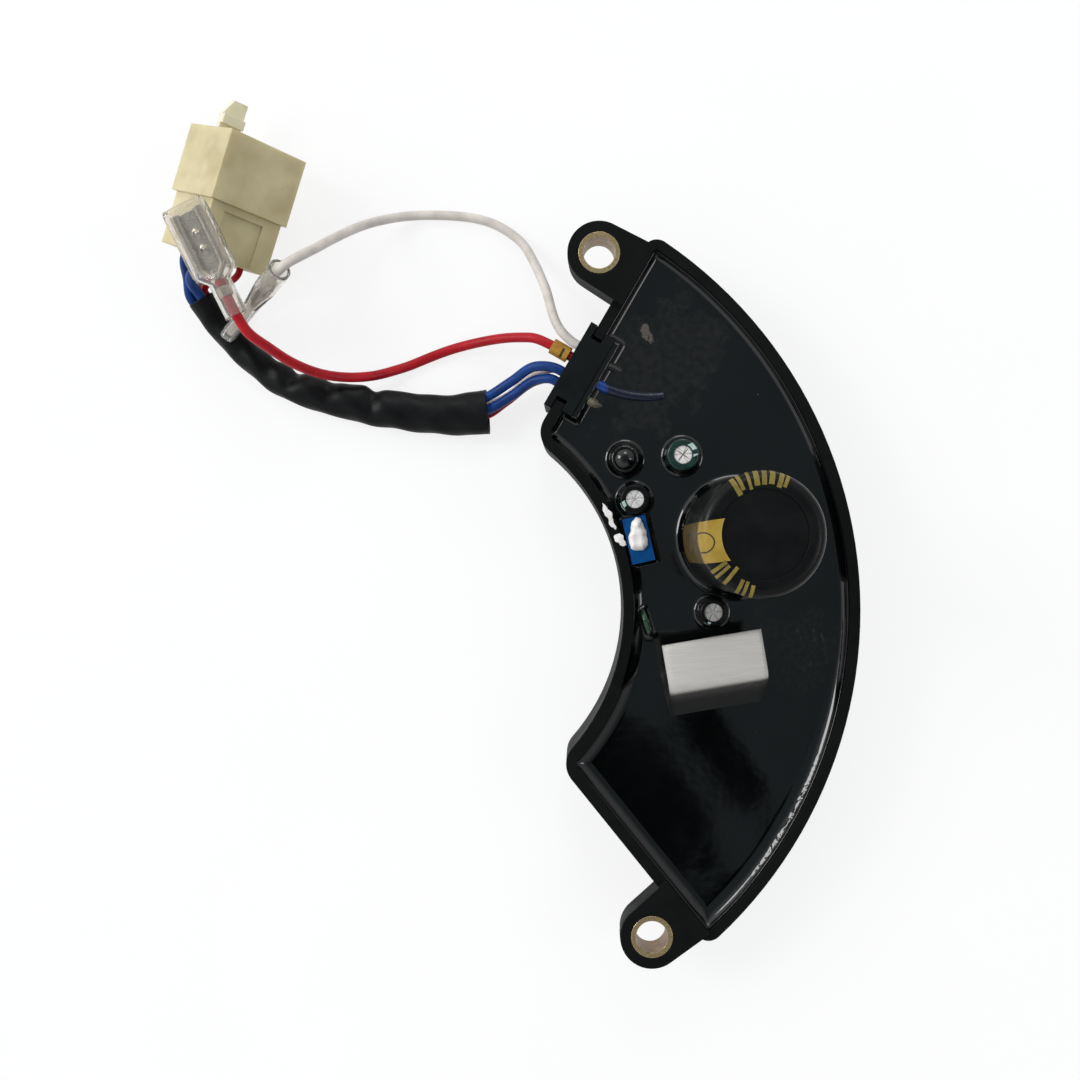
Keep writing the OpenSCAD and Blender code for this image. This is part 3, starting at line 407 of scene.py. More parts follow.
def resin_finish():
    """Glossy black casting resin: near-black, a hazy brown film, a smudge, dust and faint handling marks."""
    f = Finish("cast_resin", Specular_IOR_Level=0.5, Coat_Weight=0.1, Coat_Roughness=0.03)
    deep = f.ramp(f.noise(18.0, 3.0), (0.35, srgb(3, 4, 4)), (0.7, srgb(8, 9, 10)))
    film = f.math("MULTIPLY", f.spot((10.0, 47.0), (17.0, 12.0), 0.6, 0.9, 6.0),
                  f.range(f.noise(1.4, 6.0), 0.35, 0.7, 0.1, 0.6))
    lower_film = f.math("MULTIPLY", f.spot((32.0, -14.0), (12.0, 9.0), 0.3, 0.9, 5.0),
                        f.range(f.noise(1.0, 6.0), 0.4, 0.75, 0.0, 0.5))
    haze = f.math("MAXIMUM", film, lower_film)
    smudge = f.math("MULTIPLY", f.spot((8.6, 53.6), (1.1, 2.5), 0.25, 0.7, 1.2),
                    f.range(f.noise(0.5, 5.0), 0.3, 0.6, 0.4, 1.0))
    marks = f.math("MULTIPLY", f.spot((38.0, -15.0), (5.0, 6.0), 0.0, 0.8, 2.0),
                   f.range(f.noise(0.9, 5.0, 0.6, (1.0, 0.35, 1.0), (0, 0, 0.6)), 0.6, 0.68, 0.0, 0.7))
    dust = f.math("MULTIPLY", f.specks(3.4, 0.03, 0.8), f.range(f.noise(9.0), 0.5, 0.6, 0.0, 1.0))
    shade = f.over(haze, deep, srgb(32, 31, 29))
    shade = f.over(smudge, shade, srgb(84, 76, 70))
    shade = f.over(marks, shade, srgb(52, 48, 42))
    f.colour(f.over(dust, shade, srgb(160, 158, 150)))
    dull = f.math("ADD", f.math("MULTIPLY", haze, 0.22), f.math("MULTIPLY", smudge, 0.45))
    f.gloss(f.math("ADD", dull, f.range(f.noise(9.0, 5.0), 0.35, 0.7, 0.05, 0.11)))
    f.relief(f.noise(5.0, 2.0), 0.03)
    return f


def clear_cover():
    """Clear soft cover of a push-on terminal, slightly milky and hazy with handling."""
    f = Finish("clear_cover", Transmission_Weight=0.92, IOR=1.3, Specular_IOR_Level=0.5)
    f.colour(f.ramp(f.noise(3.0), (0.3, srgb(240, 237, 231)), (0.7, srgb(249, 247, 243))))
    f.gloss(f.range(f.noise(1.2, 4.0), 0.35, 0.7, 0.05, 0.12))
    f.relief(f.noise(3.0, 1.0), 0.03)
    return f


def nylon_finish():
    """Milky unfilled nylon: light sinks in, the shade drifts with painted shade and light, a few specks sit
    in it.
    """
    f = Finish("nylon_cream", Specular_IOR_Level=0.35, Subsurface_Weight=0.3, Subsurface_Scale=0.003)
    f.shader.inputs["Subsurface Radius"].default_value = (1.0, 0.9, 0.55)
    drift = f.ramp(f.noise(9.0, 3.0), (0.3, srgb(192, 179, 137)), (0.7, srgb(212, 201, 163)))
    # painted shade: dark clouds stand for shadows and dark contacts seen inside the translucent body
    drift = f.over(f.range(f.noise(8.0, 2.0), 0.48, 0.72, 0.0, 0.42), drift, srgb(158, 143, 100))
    # painted light: the latch is painted paler than the rest of the nylon
    latch = PLUG_AT + turned([4.6, 0, -10.3], PLUG_TURN)
    drift = f.over(f.spot(latch, (4.6, 3.6), 1.2, 0.2, 3.0), drift, srgb(226, 220, 196))
    f.colour(f.over(f.specks(3.1, 0.05, 0.6), drift, srgb(150, 135, 100)))
    f.gloss(f.range(f.noise(2.0), 0.3, 0.7, 0.36, 0.5))
    f.relief(f.noise(0.5, 3.0), 0.02, 0.35)
    return f


def dipped_green():
    """Green dipped part that the resin has run over: dark, wet, and clear green only along its middle."""
    f = Finish("dipped_green", Specular_IOR_Level=0.5, Coat_Weight=0.5, Coat_Roughness=0.05)
    bare = f.math("MULTIPLY", f.spot((3.9, -6.3), (0.75, 3.2), 0.24, 0.4, 1.4),
                  f.range(f.noise(1.2), 0.3, 0.6, 0.3, 1.0))
    wet = f.ramp(f.noise(2.0), (0.3, srgb(6, 11, 9)), (0.7, srgb(10, 24, 14)))
    f.colour(f.over(bare, wet, srgb(20, 66, 30)))
    f.gloss(f.range(f.noise(1.5), 0.3, 0.7, 0.1, 0.22))
    f.relief(f.noise(1.0, 3.0), 0.1, 0.3)
    return f


def wetted(name, dry, wet, first, last, rough):
    """Lead in the tray: its own shade at the gland, drawn down to a resin-wet one between two places in x."""
    f = Finish(name, Specular_IOR_Level=0.5)
    along = f.range(f.axis("X"), first, last, 0.0, 1.0, smooth=True)
    broken = f.math("ADD", along, f.range(f.noise(0.8), 0.3, 0.7, -0.12, 0.12))
    f.colour(f.ramp(broken, (0.2, srgb(*dry)), (0.8, srgb(*wet))))
    f.gloss(f.range(f.noise(0.6), 0.3, 0.7, rough, rough + 0.2))
    f.relief(f.noise(0.4, 3.0), 0.06)
    return f


def plain_finish(name, dark, light, rough, size=3.0, depth=0.02, edge=0.12, **sockets):
    """Small-part finish: two shades in clouds of that size, cloudy gloss, light grain and soft edges."""
    f = Finish(name, **sockets)
    cloud = f.noise(size)
    f.colour(f.ramp(cloud, (0.3, srgb(*dark)), (0.7, srgb(*light))))
    f.gloss(f.range(cloud, 0.3, 0.7, rough, rough + 0.14))
    f.relief(f.noise(size / 4, 3.0), depth, edge)
    return f


def stripe_gold():
    """Gold ink on the sleeve: clear on top, painted darker on the side as painted shade, with slow clouds."""
    f = Finish("gold_print", Specular_IOR_Level=0.3)
    cloud = f.noise(4.0)
    on_top = f.range(f.axis("Z"), 36.5, 40.2, 0.0, 1.0, smooth=True)
    # painted shade: the ink on the can's side is painted darker than on top
    side = f.ramp(cloud, (0.3, srgb(62, 50, 16)), (0.7, srgb(86, 70, 26)))
    f.colour(f.over(on_top, side, f.ramp(cloud, (0.3, srgb(140, 114, 40)), (0.7, srgb(172, 144, 62)))))
    f.gloss(f.range(cloud, 0.3, 0.7, 0.4, 0.52))
    f.relief(f.noise(1.0, 3.0), 0.01)
    return f


def scored_can(name, middle, scores, dark, light):
    """Pressed can top: pale brushed metal with dark scores, each (turn in degrees, half length, strength)."""
    f = Finish(name, Metallic=0.15, Specular_IOR_Level=0.4)
    streak = f.noise(0.5, 6.0, 0.75, (3, 0.4, 1), (0, 0, 0.4))
    shade = f.ramp(streak, (0.25, srgb(*dark)), (0.75, srgb(*light)))
    for turn, half, strength in scores:
        line = f.math("MULTIPLY", f.spot(middle, (half, 0.13), math.radians(turn), 0.15, 0.8), strength)
        shade = f.over(line, shade, srgb(52, 48, 46))
    f.colour(shade)
    f.gloss(f.range(f.noise(1.2), 0.3, 0.7, 0.32, 0.44))
    f.relief(f.noise(0.5, 3.0), 0.02, 0.12)
    return f


finishes = {
    "moulding": moulded_black("moulded_tray", (6, 8, 8), (12, 14, 14)),
    "gland": moulded_black("moulded_gland", (10, 13, 13), (18, 22, 23)),
    "brass": turned_brass(),
    "board": plain_finish("board_green", (26, 62, 34), (40, 84, 48), 0.4),
    "resin": resin_finish(),
    "can": rolled_metal("pressed_can", (196, 194, 192), (246, 245, 243), 0.34, (3, 0.4, 1), 0.4, 0.12, 0.55),
    "black_sleeve": plain_finish("shrunk_black", (6, 7, 7), (11, 12, 12), 0.3, 5.0, Specular_IOR_Level=0.18),
    "green_sleeve": plain_finish("shrunk_green", (3, 32, 27), (9, 50, 42), 0.26, 2.0),
    "blue_case": plain_finish("trimmer_blue", (0, 58, 110), (2, 78, 140), 0.4, 2.0, Specular_IOR_Level=0.15),
    "seal": plain_finish("sealing_paint", (226, 221, 218), (246, 243, 241), 0.5, 1.2, 0.05, 0.0),
    "green_coat": dipped_green(),
    "sheet": folded_sheet(),
    "package": plain_finish("package_black", (18, 18, 18), (34, 34, 33), 0.45),
    "screw_steel": rolled_metal("screw_steel", (120, 120, 120), (200, 200, 200), 0.3, (1, 1, 4)),
    "resistor_coat": plain_finish("resistor_tan", (140, 110, 74), (176, 146, 104), 0.4),
    "white_cover": lead_cover("lead_white", (192, 185, 178), (220, 213, 205)),
    "red_cover": lead_cover("lead_red", (150, 8, 22), (184, 20, 34)),
    "blue_cover": lead_cover("lead_blue", (2, 40, 98), (8, 62, 134)),
    "yellow_tube": plain_finish("marker_yellow", (158, 108, 20), (196, 148, 44), 0.4, 2.0),
    "harness": plain_finish("sleeve_black", (6, 7, 8), (12, 13, 14), 0.36, 6.0, 0.05, 0.0,
                            Specular_IOR_Level=0.16),
    "nylon": nylon_finish(),
    "tin": rolled_metal("tinned_brass", (146, 138, 126), (206, 199, 186), 0.3, (0.3, 2, 2), 0.0, 0.0),
    "clear": clear_cover(),
}
inner_blue = wetted("inner_blue", (6, 60, 140), (5, 13, 36), -1.8, 0.8, 0.2)
inner_white = wetted("inner_white", (124, 118, 94), (16, 16, 15), -5.4, -0.6, 0.25)
gold_print = stripe_gold()
bar_print = plain_finish("bar_print", (104, 90, 36), (136, 120, 56), 0.45, 2.0, 0.01, 0.0,
                         Specular_IOR_Level=0.3)
dark_print = plain_finish("dark_print", (34, 28, 18), (52, 42, 26), 0.5, 2.0, 0.01, 0.0)
pale_print = plain_finish("pale_print", (150, 176, 172), (182, 204, 200), 0.4, 1.5, 0.01, 0.0)
can_tops = {}
for can_name, scores, dark, light in (
        ("green", ((45.6, 1.9, 0.9), (-38, 1.9, 0.8)), (214, 210, 207), (240, 236, 233)),
        ("black", ((30, 1.6, 0.35), (150, 1.6, 0.3), (265, 1.5, 0.3)), (206, 204, 203), (236, 234, 232)),
        ("lower", (), (160, 158, 154), (186, 184, 180))):
    low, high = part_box(f"{can_name}_capacitor_can")
    middle = [(a + b) / 2 / MM for a, b in zip(low, high)]
    can_tops[f"{can_name}_capacitor_can"] = scored_can(f"{can_name}_can_top", middle, scores, dark, light)


def dress(piece, slot, finish=None):
    """Gives a piece, or a node's own object, the finish of a material slot or one of its own."""
    piece.data.materials.clear()
    piece.data.materials.append((finish or finishes[slot]).material)


for part in frame["record"]["subparts"]:
    own = {"inner_blue_lead": inner_blue, "inner_white_leads": inner_white, **can_tops}.get(part["node"])
    dress(nodes[part["node"]], part["material_slot"], own)


def finished(piece, slot, *replaced, finish=None):
    dress(piece, slot, finish)
    if replaced:
        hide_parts(*replaced)
    return piece


# leads

def gland_exit(along, z, out):
    """Two points of a lead: on the gland's outer face, and straight out from it."""
    way = np.array([math.cos(END_SLOPE), math.sin(END_SLOPE), 0])
    normal = np.array([-math.sin(END_SLOPE), math.cos(END_SLOPE), 0])
    face = np.array([*HUB, z]) + along * way + GLAND_FACE * normal
    return [face, face + out * normal]


def neck_points(at, turn):
    """A lead's last two points: at the neck's end, and inside it."""
    return [at, at + turned([LEAD_IN, 0, 0], turn)]


SLEEVE = np.array([
    [-26, 41, -6.3], [-32, 41, -6.3], [-39, 41.6, -6.6], [-46, 43, -6.7], [-53, 44.8, -6.7],
    [-60, 46.8, -6.75], [-67, 50, -6.8], [-74, 54.8, -6.9], [-79.8, 60.6, -6.7], [-82.8, 65.1, -5.8],
    [-85.1, 69.6, -4.3]])
SLEEVE_R = np.array([4.8, 4.6, 4.4, 4.3, 4.2, 4, 3.8, 3.5, 3.2, 3, 3])
SLEEVE_FLAT = np.array([0.75, 0.75, 0.75, 0.75, 0.78, 0.8, 0.82, 0.86, 0.92, 1, 1])


def harness_route(start, sleeve_in, sleeve_out, between, slot):
    """A lead of the harness: gland to sleeve, along it at a place that drifts across, then to its slot."""
    tangent, side, up = route_frames(SLEEVE)
    drift = np.linspace(0, 1, len(SLEEVE))[:, None]
    place = (1 - drift) * np.array(sleeve_in) + drift * TAIL_SPREAD * np.array(sleeve_out)
    bunched = np.clip(10 * np.minimum(drift, 1 - drift) / 2, 0, 1)
    place += bunched * (place * [-0.5, -0.65] + (1 - drift) * [0.8, 0] - [0, 0.3])
    inside = SLEEVE + place[:, :1] * side + place[:, 1:] * up
    y, z = slot[0] * SLOT_PITCH, slot[1] * SLOT_PITCH
    ends = [PLUG_AT + turned([x, y, z], PLUG_TURN) for x in (-PLUG_L - SLOT_RUN, -PLUG_L)]
    return np.array([*start, *inside, inside[-1] + tangent[-1], *between, *ends])


white_points = [
    *gland_exit(64.6, 1.4, 1.5), [-8.3, 54.9, 1.3], [-11.8, 66.4, -2.4], [-13.6, 72, -5.6],
    [-16.2, 77.4, -8.2], [-20.2, 81, -9], [-34, 84.8, -9], [-41, 84.8, -8], [-46.5, 83.2, -4.4],
    [-54.4, 77.4, 6], [-57, 74.6, 10.8], [-60, 72.4, 13.6], [-62.2, 71.2, 14.2],
    *neck_points(WHITE_TERM_AT, WHITE_TERM_TURN)]
red_points = [
    *gland_exit(RED_EXIT, 0, 5.6), [-14.5, 55, -0.6], [-18, 55.8, -2.5], [-27, 56.2, -7.2],
    [-32, 55.6, -8.6], [-44.5, 52, -8.4], [-50, 50.6, -6], [-60, 51, -0.5], [-64.5, 52.8, 3.5],
    [-68.5, 55.7, 8.8], [-71.8, 58.8, 12.8], *neck_points(RED_TERM_AT, RED_TERM_TURN)]
blue_a_points = harness_route(
    [*gland_exit(58.2, 1.4, 1.5), [-14.8, 49, 0.2], [-20.5, 46.6, -3]], (-3, 1.5), (-0.25, 1),
    [[-85.7, 71.9, 0.1], [-82.4, 74.5, 5.6]], (1, 1))
blue_b_points = harness_route(
    [*gland_exit(55.9, 0.4, 1.5), [-14.6, 46.4, -0.9], [-20.5, 43.8, -4]], (-0.3, 1.2), (1.2, 0),
    [[-87.1, 73.5, -2.4]], (1, -1))
thin_red_points = harness_route(
    [*gland_exit(56.4, -3, 1.5), [-14.6, 46.4, -4.2], [-22, 42.6, -6.8]], (0.6, -1.2), (-1, 0),
    [[-83.1, 72.4, -2.9], [-82.1, 73.1, -1.8], [-80.5, 72.3, -0.3], [-77.4, 71.6, 0.7]], (-1, 1))
thin_white_points = harness_route(
    [*gland_exit(58.6, -3, 1.5), [-14.6, 48.2, -4.6], [-22, 44.2, -7.4]], (-1.6, -1.4), (0, -1),
    [[-85.7, 72.6, -5.3], [-83.5, 74.8, -5]], (-1, -1))


def make_lead(name, points, diameter, slot, replaced):
    """A lead as one smooth tube along its route, with the pieces it replaces hidden."""
    route, path = smooth_route(points, 160), smooth_route(points, 40)
    for line in (route, path):
        line[:, 2] = np.maximum(line[:, 2], BACK_Z + diameter / 2)
    piece = finished(swept(name, route, diameter / 2), slot, *replaced)
    return piece


def slack_sleeve():
    """Slack tube round four leads: a flattened ring along the route, dented by waves, out and back."""
    route = smooth_route(SLEEVE, 260)
    s = np.linspace(0, 1, len(route))[:, None]
    a = np.linspace(0, 2 * np.pi, 56, endpoint=False)[None]
    knots = np.linspace(0, 1, len(SLEEVE_R))
    radius = np.interp(s, knots, SLEEVE_R)
    flat = np.interp(s, knots, SLEEVE_FLAT)
    folds = (0.14 * np.sin(31 * s + 2 * a) * np.sin(11 * s + 0.6) + 0.1 * np.sin(57 * s - 3 * a + 1.1)
             + 0.16 * np.sin(17 * s + a) * np.cos(5 * s))
    for at, width, depth in ((0.36, 0.022, 0.9), (0.5, 0.03, 0.7), (0.62, 0.024, 1.2), (0.7, 0.03, 0.5)):
        folds -= depth * np.exp(-((s - at) / width) ** 2) * np.clip(0.25 - np.cos(a + 0.7), 0, 1.2)
    ease = np.clip(np.minimum(s, 1 - s) / 0.06, 0, 1)
    outer = radius + ease * (folds - 0.22)
    _, side, up = route_frames(route)

    def wall(r):
        across, rise = (r * np.cos(a))[..., None], (flat * r * np.sin(a))[..., None]
        return route[:, None] + across * side[:, None] + rise * up[:, None]

    rings = np.concatenate([wall(outer), wall(outer - SLEEVE_WALL)[::-1]])
    return finished(put_mesh("slack_sleeve", *closed_rings(rings)), "harness", "harness_sleeve")


# push-on terminals and their clear covers: the lead enters at x = 0, the mouth faces +x

def barrel(start, end, inner, outer, flutes=0.0):
    """Crimped band about the x axis, fluted outside: r = outer + flutes cos 9a, with eased ends."""
    a = np.linspace(0, 2 * np.pi, 72, endpoint=False)[None]
    x = np.linspace(start, end, 24)[:, None]
    ease = np.sqrt(np.clip(np.minimum(x - start, end - x) / 0.25, 0, 1))
    outside = inner + (outer + flutes * np.cos(9 * a) - inner) * (0.5 + 0.5 * ease)
    walls = []
    for r in (outside, np.broadcast_to(inner, outside.shape)[::-1]):
        along = x if r is outside else x[::-1]
        walls.append(np.stack(np.broadcast_arrays(along, r * np.cos(a), r * np.sin(a)), axis=-1))
    return closed_rings(np.concatenate(walls))


def rolled_socket():
    """Socket: a flat plate whose two edges roll up and in, narrowed at the lead, with two dimples."""
    roll = np.radians(np.linspace(-90, 235, 40))
    r, half = ROLL_R - TERM_T / 2, TERM_W / 2 - ROLL_R
    plate = np.linspace(-half, half, 40)[1:-1]
    y = np.concatenate([-half - r * np.cos(roll[::-1]), plate, half + r * np.cos(roll)])
    z = np.concatenate([r * np.sin(roll[::-1]), np.full(len(plate), -r), r * np.sin(roll)])
    x = np.linspace(COVER_FROM - 1.4, SOCKET_END, 70)[:, None]
    widen = np.clip((x - x[0]) / 2.6, 0, 1)
    widen = 0.26 + 0.74 * widen ** 2 * (3 - 2 * widen)
    on_plate = np.clip((0.6 * half - np.abs(y)) / 0.4, 0, 1) * (z < -r + 0.01)
    dimples = sum(0.45 * np.exp(-(((x - at) / 0.65) ** 2 + (y / 0.6) ** 2)) for at in (14.2, 17.6)) * on_plate
    middle = np.stack(np.broadcast_arrays(x, y * widen, z + dimples), axis=-1)
    return thick_sheet(middle, 0.9 * TERM_T)


def link_strip(lead_d):
    """Strip under the lead that joins the two crimped bands to the socket."""
    x, y = np.meshgrid(np.linspace(CRIMP_FROM, COVER_FROM, 20), np.linspace(-0.8, 0.8, 8), indexing="ij")
    return thick_sheet(np.stack([x, y, np.full(x.shape, -lead_d / 2 - 0.25)], axis=-1), 0.3)


def clear_walls():
    """Soft cover: superellipse rings that grow from the round neck to the flat mouth, outside and inside."""
    a = np.linspace(0, 2 * np.pi, 88, endpoint=False)[None]
    neck, shoulder, body = np.linspace(0, 6, 14), np.linspace(6, 11, 30), np.linspace(11, COVER_END, 30)
    x = np.concatenate([neck, shoulder[1:], body[1:]])[:, None]
    grow = np.clip((x - COVER_FROM + 2.6) / 3.0, 0, 1)
    grow = grow ** 2 * (3 - 2 * grow)
    power = 2 + 3.2 * grow
    end = np.clip((x - COVER_END + 1.6) / 1.6, 0, 1) ** 2

    def wall(inward):
        half_w = (NECK_D + (MOUTH_W - NECK_D) * grow) / 2 * (1 - 0.07 * end) - inward
        half_t = (NECK_D + (MOUTH_T - NECK_D) * grow) / 2 * (1 - 0.05 * end) - inward
        y = half_w * np.sign(np.cos(a)) * np.abs(np.cos(a)) ** (2 / power)
        z = half_t * np.sign(np.sin(a)) * np.abs(np.sin(a)) ** (2 / power)
        return np.stack(np.broadcast_arrays(x, y, z), axis=-1)

    return closed_rings(np.concatenate([wall(0.0), wall(COVER_T)[::-1]]))


def push_on(colour, at, turn, lead_d):
    """A terminal and its cover in their place on a lead's end."""
    metal_points, metal_faces = joined(
        rolled_socket(), link_strip(lead_d),
        barrel(CRIMP_FROM, CRIMP_FROM + CRIMP_L, lead_d / 2 + 0.02, lead_d / 2 + 0.36, 0.06),
        barrel(LEAD_IN + 0.1, COVER_FROM + 0.2, 0.35, 0.92, 0.04))
    cover_points, cover_faces = clear_walls()
    metal = put_mesh(f"{colour}_socket", at + turned(metal_points, turn), metal_faces)
    cover = put_mesh(f"{colour}_clear_cover", at + turned(cover_points, turn), cover_faces)
    return [finished(metal, "tin", f"{colour}_terminal"),
            finished(cover, "clear", f"{colour}_terminal_cover")]


sleeve = slack_sleeve()
white_end = push_on("white", WHITE_TERM_AT, WHITE_TERM_TURN, WHITE_D)
red_end = push_on("red", RED_TERM_AT, RED_TERM_TURN, RED_D)
make_lead("cord_white", white_points, WHITE_D, "white_cover", ["white_lead"])
make_lead("cord_red", red_points, RED_D, "red_cover", ["red_lead"])
make_lead("cord_blue_a", blue_a_points, BLUE_D, "blue_cover", ["blue_lead_a", "blue_tails"])
make_lead("cord_blue_b", blue_b_points, BLUE_D, "blue_cover", ["blue_lead_b"])
make_lead("cord_thin_red", thin_red_points, THIN_D, "red_cover", ["thin_red_lead", "thin_red_tail"])
make_lead("cord_thin_white", thin_white_points, THIN_D, "white_cover",
          ["thin_white_lead", "thin_white_tail"])


# resin

def round_part(node):
    """Middle, radius and top of an upright round part, from its box."""
    low, high = (np.array(c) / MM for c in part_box(node))
    return (low + high)[:2] / 2, (high - low)[0] / 2, high[2]


def away_from_box(x, y, middle, turn, half):
    """Distance of each point from an upright box of half sizes half, turned about its middle."""
    dx, dy = x - middle[0], y - middle[1]
    u = np.abs(dx * math.cos(turn) + dy * math.sin(turn)) - half[0]
    v = np.abs(dy * math.cos(turn) - dx * math.sin(turn)) - half[1]
    return np.hypot(np.maximum(u, 0), np.maximum(v, 0))


def resin_height(x, y):
    """Resin level plus its climbs at walls and parts, its waves, and the froth along the outer wall.

    A climb is a quarter-oval fillet of height h and width w at distance d, h (1 - sqrt(1 - (1 - d / w)^2)),
    and all are joined by the cube root of the sum of their cubes.
    """
    from_hub = np.hypot(x - HUB[0], y)
    angle = np.degrees(np.arctan2(y, x - HUB[0]))
    low_end = np.clip((-8 - angle) / 16, 0, 1)
    in_from_wall = OUTER_R - WALL - from_hub
    climbs = [(2.4, 2.4 + 0.8 * low_end, from_hub - INNER_R - WALL),
              (1.9, 1.6 + 2.0 * low_end, in_from_wall)]
    for hand, wide in ((1, 1.5), (-1, 3.0)):
        across = -(x - HUB[0]) * math.sin(END_SLOPE) + hand * y * math.cos(END_SLOPE)
        climbs.append((2.0, wide, -END_OFFSET - WALL - across))
    for node, h, w in (("main_capacitor_sleeve", 2.2, 1.9), ("green_capacitor_sleeve", 1.9, 1.3),
                       ("black_capacitor_sleeve", 1.9, 1.2), ("lower_capacitor_sleeve", 1.9, 1.2),
                       ("coated_capacitor", 2.6, 1.5)):
        middle, radius, _ = round_part(node)
        climbs.append((h, w, np.hypot(x - middle[0], y - middle[1]) - radius))
    gland_mid = (HUB[0] + GLAND_AT * math.cos(END_SLOPE) - GLAND_BACK * math.sin(END_SLOPE),
                 GLAND_AT * math.sin(END_SLOPE) + GLAND_BACK * math.cos(END_SLOPE))
    climbs += [(1.6, 1.4, away_from_box(x, y, gland_mid, END_SLOPE, (GLAND_HALF, 1.2))),
               (1.3, 1.2, away_from_box(x, y, TRIMMER_AT, TRIMMER_TURN, TRIMMER_HALF)),
               (1.0, 1.6, away_from_box(x, y, FILM_AT, FILM_TURN, (0.3, 2.6)))]
    total = 0
    for h, w, d in climbs:
        near = np.clip(1 - np.maximum(d, 0) / w, 0, 1)
        total = total + (h * (1 - np.sqrt(1 - near ** 2))) ** 3
    waves = 0.05 * np.sin(0.31 * x + 0.17 * y) + 0.04 * np.sin(0.23 * y - 0.12 * x + 1.7)
    froth = np.exp(-((in_from_wall - 0.6) / 0.45) ** 2) * np.clip(1.3 - np.abs(angle + 33) / 8, 0, 1)
    bubbles = (np.sin(4.1 * angle + 2.3 * np.sin(1.7 * angle))
               * np.sin(5.2 * in_from_wall + 1.9 * np.sin(2.9 * angle + 1)))
    return RESIN_Z + np.cbrt(total) + waves + 0.1 * froth * bubbles


def resin():
    """Sheet over the tray, radius by angle between its walls, closed by a skirt and a base."""
    rows, columns = 150, 640
    s = np.linspace(0, 1, rows)[:, None]
    s = 0.5 - 0.5 * np.cos(np.pi * (0.12 + 0.76 * s)) / math.cos(0.12 * math.pi)
    t = np.linspace(-1, 1, columns)[None]
    r = INNER_R + WALL + s * (OUTER_R - INNER_R - 2 * WALL)
    reach = END_SLOPE - np.arcsin((END_OFFSET + WALL) / r)
    x = HUB[0] + r * np.cos(t * reach)
    y = r * np.sin(t * reach)
    top = np.stack([x, y, resin_height(x, y)], axis=-1).reshape(-1, 3)
    index = np.arange(rows * columns).reshape(rows, columns)
    rim = np.concatenate([index[0, :-1], index[:-1, -1], index[-1, :0:-1], index[:0:-1, 0]])
    base = top[rim] * [1, 1, 0] + [0, 0, TRAY_FLOOR_Z]
    foot = len(top) + np.arange(len(rim))
    skirt = np.stack([rim, np.roll(rim, -1), np.roll(foot, -1), foot], axis=-1).tolist()
    faces = sheet_faces(rows, columns) + skirt + [foot.tolist()]
    return finished(put_mesh("cast_resin", np.concatenate([top, base]), faces), "resin", "potting_resin")


resin()


# paint

def dome(name, middle, turn, outline, height, z, lumps=1.0, peak=None):
    """Drop of paint: a dome over an outline, its height eased to the edge and lumpy.

    outline(a) gives how far the edge lies across and along at each angle a round the middle. A peak
    (across, along, height, width) adds a drawn-up point, a bell round that place.
    """
    rows, sides = 40, 96
    s = np.linspace(0, 1, rows)[:, None]
    a = np.linspace(0, 2 * np.pi, sides, endpoint=False)[None]
    across, along = (s * part for part in outline(a))
    lump = 1 + lumps * (0.14 * np.sin(2.2 * along + 1.0) + 0.1 * np.sin(3 * across - 0.7))
    lift = height * np.sqrt(np.clip(1 - s ** 2.6, 0, 1)) * lump
    if peak:
        from_peak = (across - peak[0]) ** 2 + (along - peak[1]) ** 2
        lift = lift + (1 - s) ** 0.5 * peak[2] * np.exp(-from_peak / peak[3] ** 2)
    x = middle[0] + across * math.cos(turn) - along * math.sin(turn)
    y = middle[1] + across * math.sin(turn) + along * math.cos(turn)
    points = np.stack([x, y, z + lift], axis=-1)
    first = np.arange(sides)
    crown = np.stack([np.full(sides, (rows - 1) * sides), first, np.roll(first, -1)], axis=-1).tolist()
    base = list(range((rows - 1) * sides - 1, (rows - 2) * sides - 1, -1))
    rings = np.concatenate([points[1:].reshape(-1, 3), points[0, :1]])
    return put_mesh(name, rings, ring_faces(rows - 1, sides) + crown + [base])


def dab_edge(a):
    """Broad square-footed body with a narrower head that ends in a point."""
    along = np.sin(a)
    half = np.interp(along, [-1, -0.8, -0.4, 0, 0.25, 0.45, 0.7, 0.9, 1],
                     [2.0, 2.15, 2.05, 1.8, 1.5, 1.42, 1.3, 0.95, 0.5])
    ragged = 0.08 * np.sin(7 * a) + 0.05 * np.sin(13 * a)
    return half * np.sign(np.cos(a)) * np.abs(np.cos(a)) ** 0.5 + ragged, 3.45 * along


def smear_edge(a):
    """Long streak with wavy edges."""
    across = (0.62 + 0.2 * np.sin(5 * a + 1) + 0.1 * np.sin(11 * a)) * np.cos(a)
    return across, (2.9 + 0.3 * np.sin(4 * a)) * np.sin(a)


def blot_edge(a):
    """Short blot with a drawn-out end."""
    across = (0.85 + 0.2 * np.sin(3 * a) + 0.1 * np.sin(9 * a)) * np.cos(a)
    return across, (1.75 + 0.3 * np.sin(2 * a + 2)) * np.sin(a)


def dipped_edge(a):
    """Rounded long body of a dipped part."""
    return 1.2 * np.sign(np.cos(a)) * np.abs(np.cos(a)) ** 0.7, 3.5 * np.sin(a)


DAB_Z = 6.98
dab_peak = (-0.1, 2.1, 1.3, 0.9)
dab = dome("sealing_dab", (3.5, 12.2), math.radians(-0.7), dab_edge, 1.3, DAB_Z, 0.7, dab_peak)
finished(dab, "seal", "trimmer_seal")
film_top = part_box("film_capacitor")[1][2] / MM
film_foot = RESIN_Z - 1
dipped = dome("dipped_body", FILM_AT, FILM_TURN, dipped_edge, film_top - film_foot, film_foot, 0.35)
finished(dipped, "green_coat", "film_capacitor")
PAINT_Z = RIM_Z + 0.01
finished(dome("paint_smear", (-2.1, 16.2), math.radians(20), smear_edge, 0.16, PAINT_Z), "seal")
finished(dome("paint_blot", (-0.15, 11.2), math.radians(32), blot_edge, 0.3, PAINT_Z), "seal")


# prints on the sleeved cans

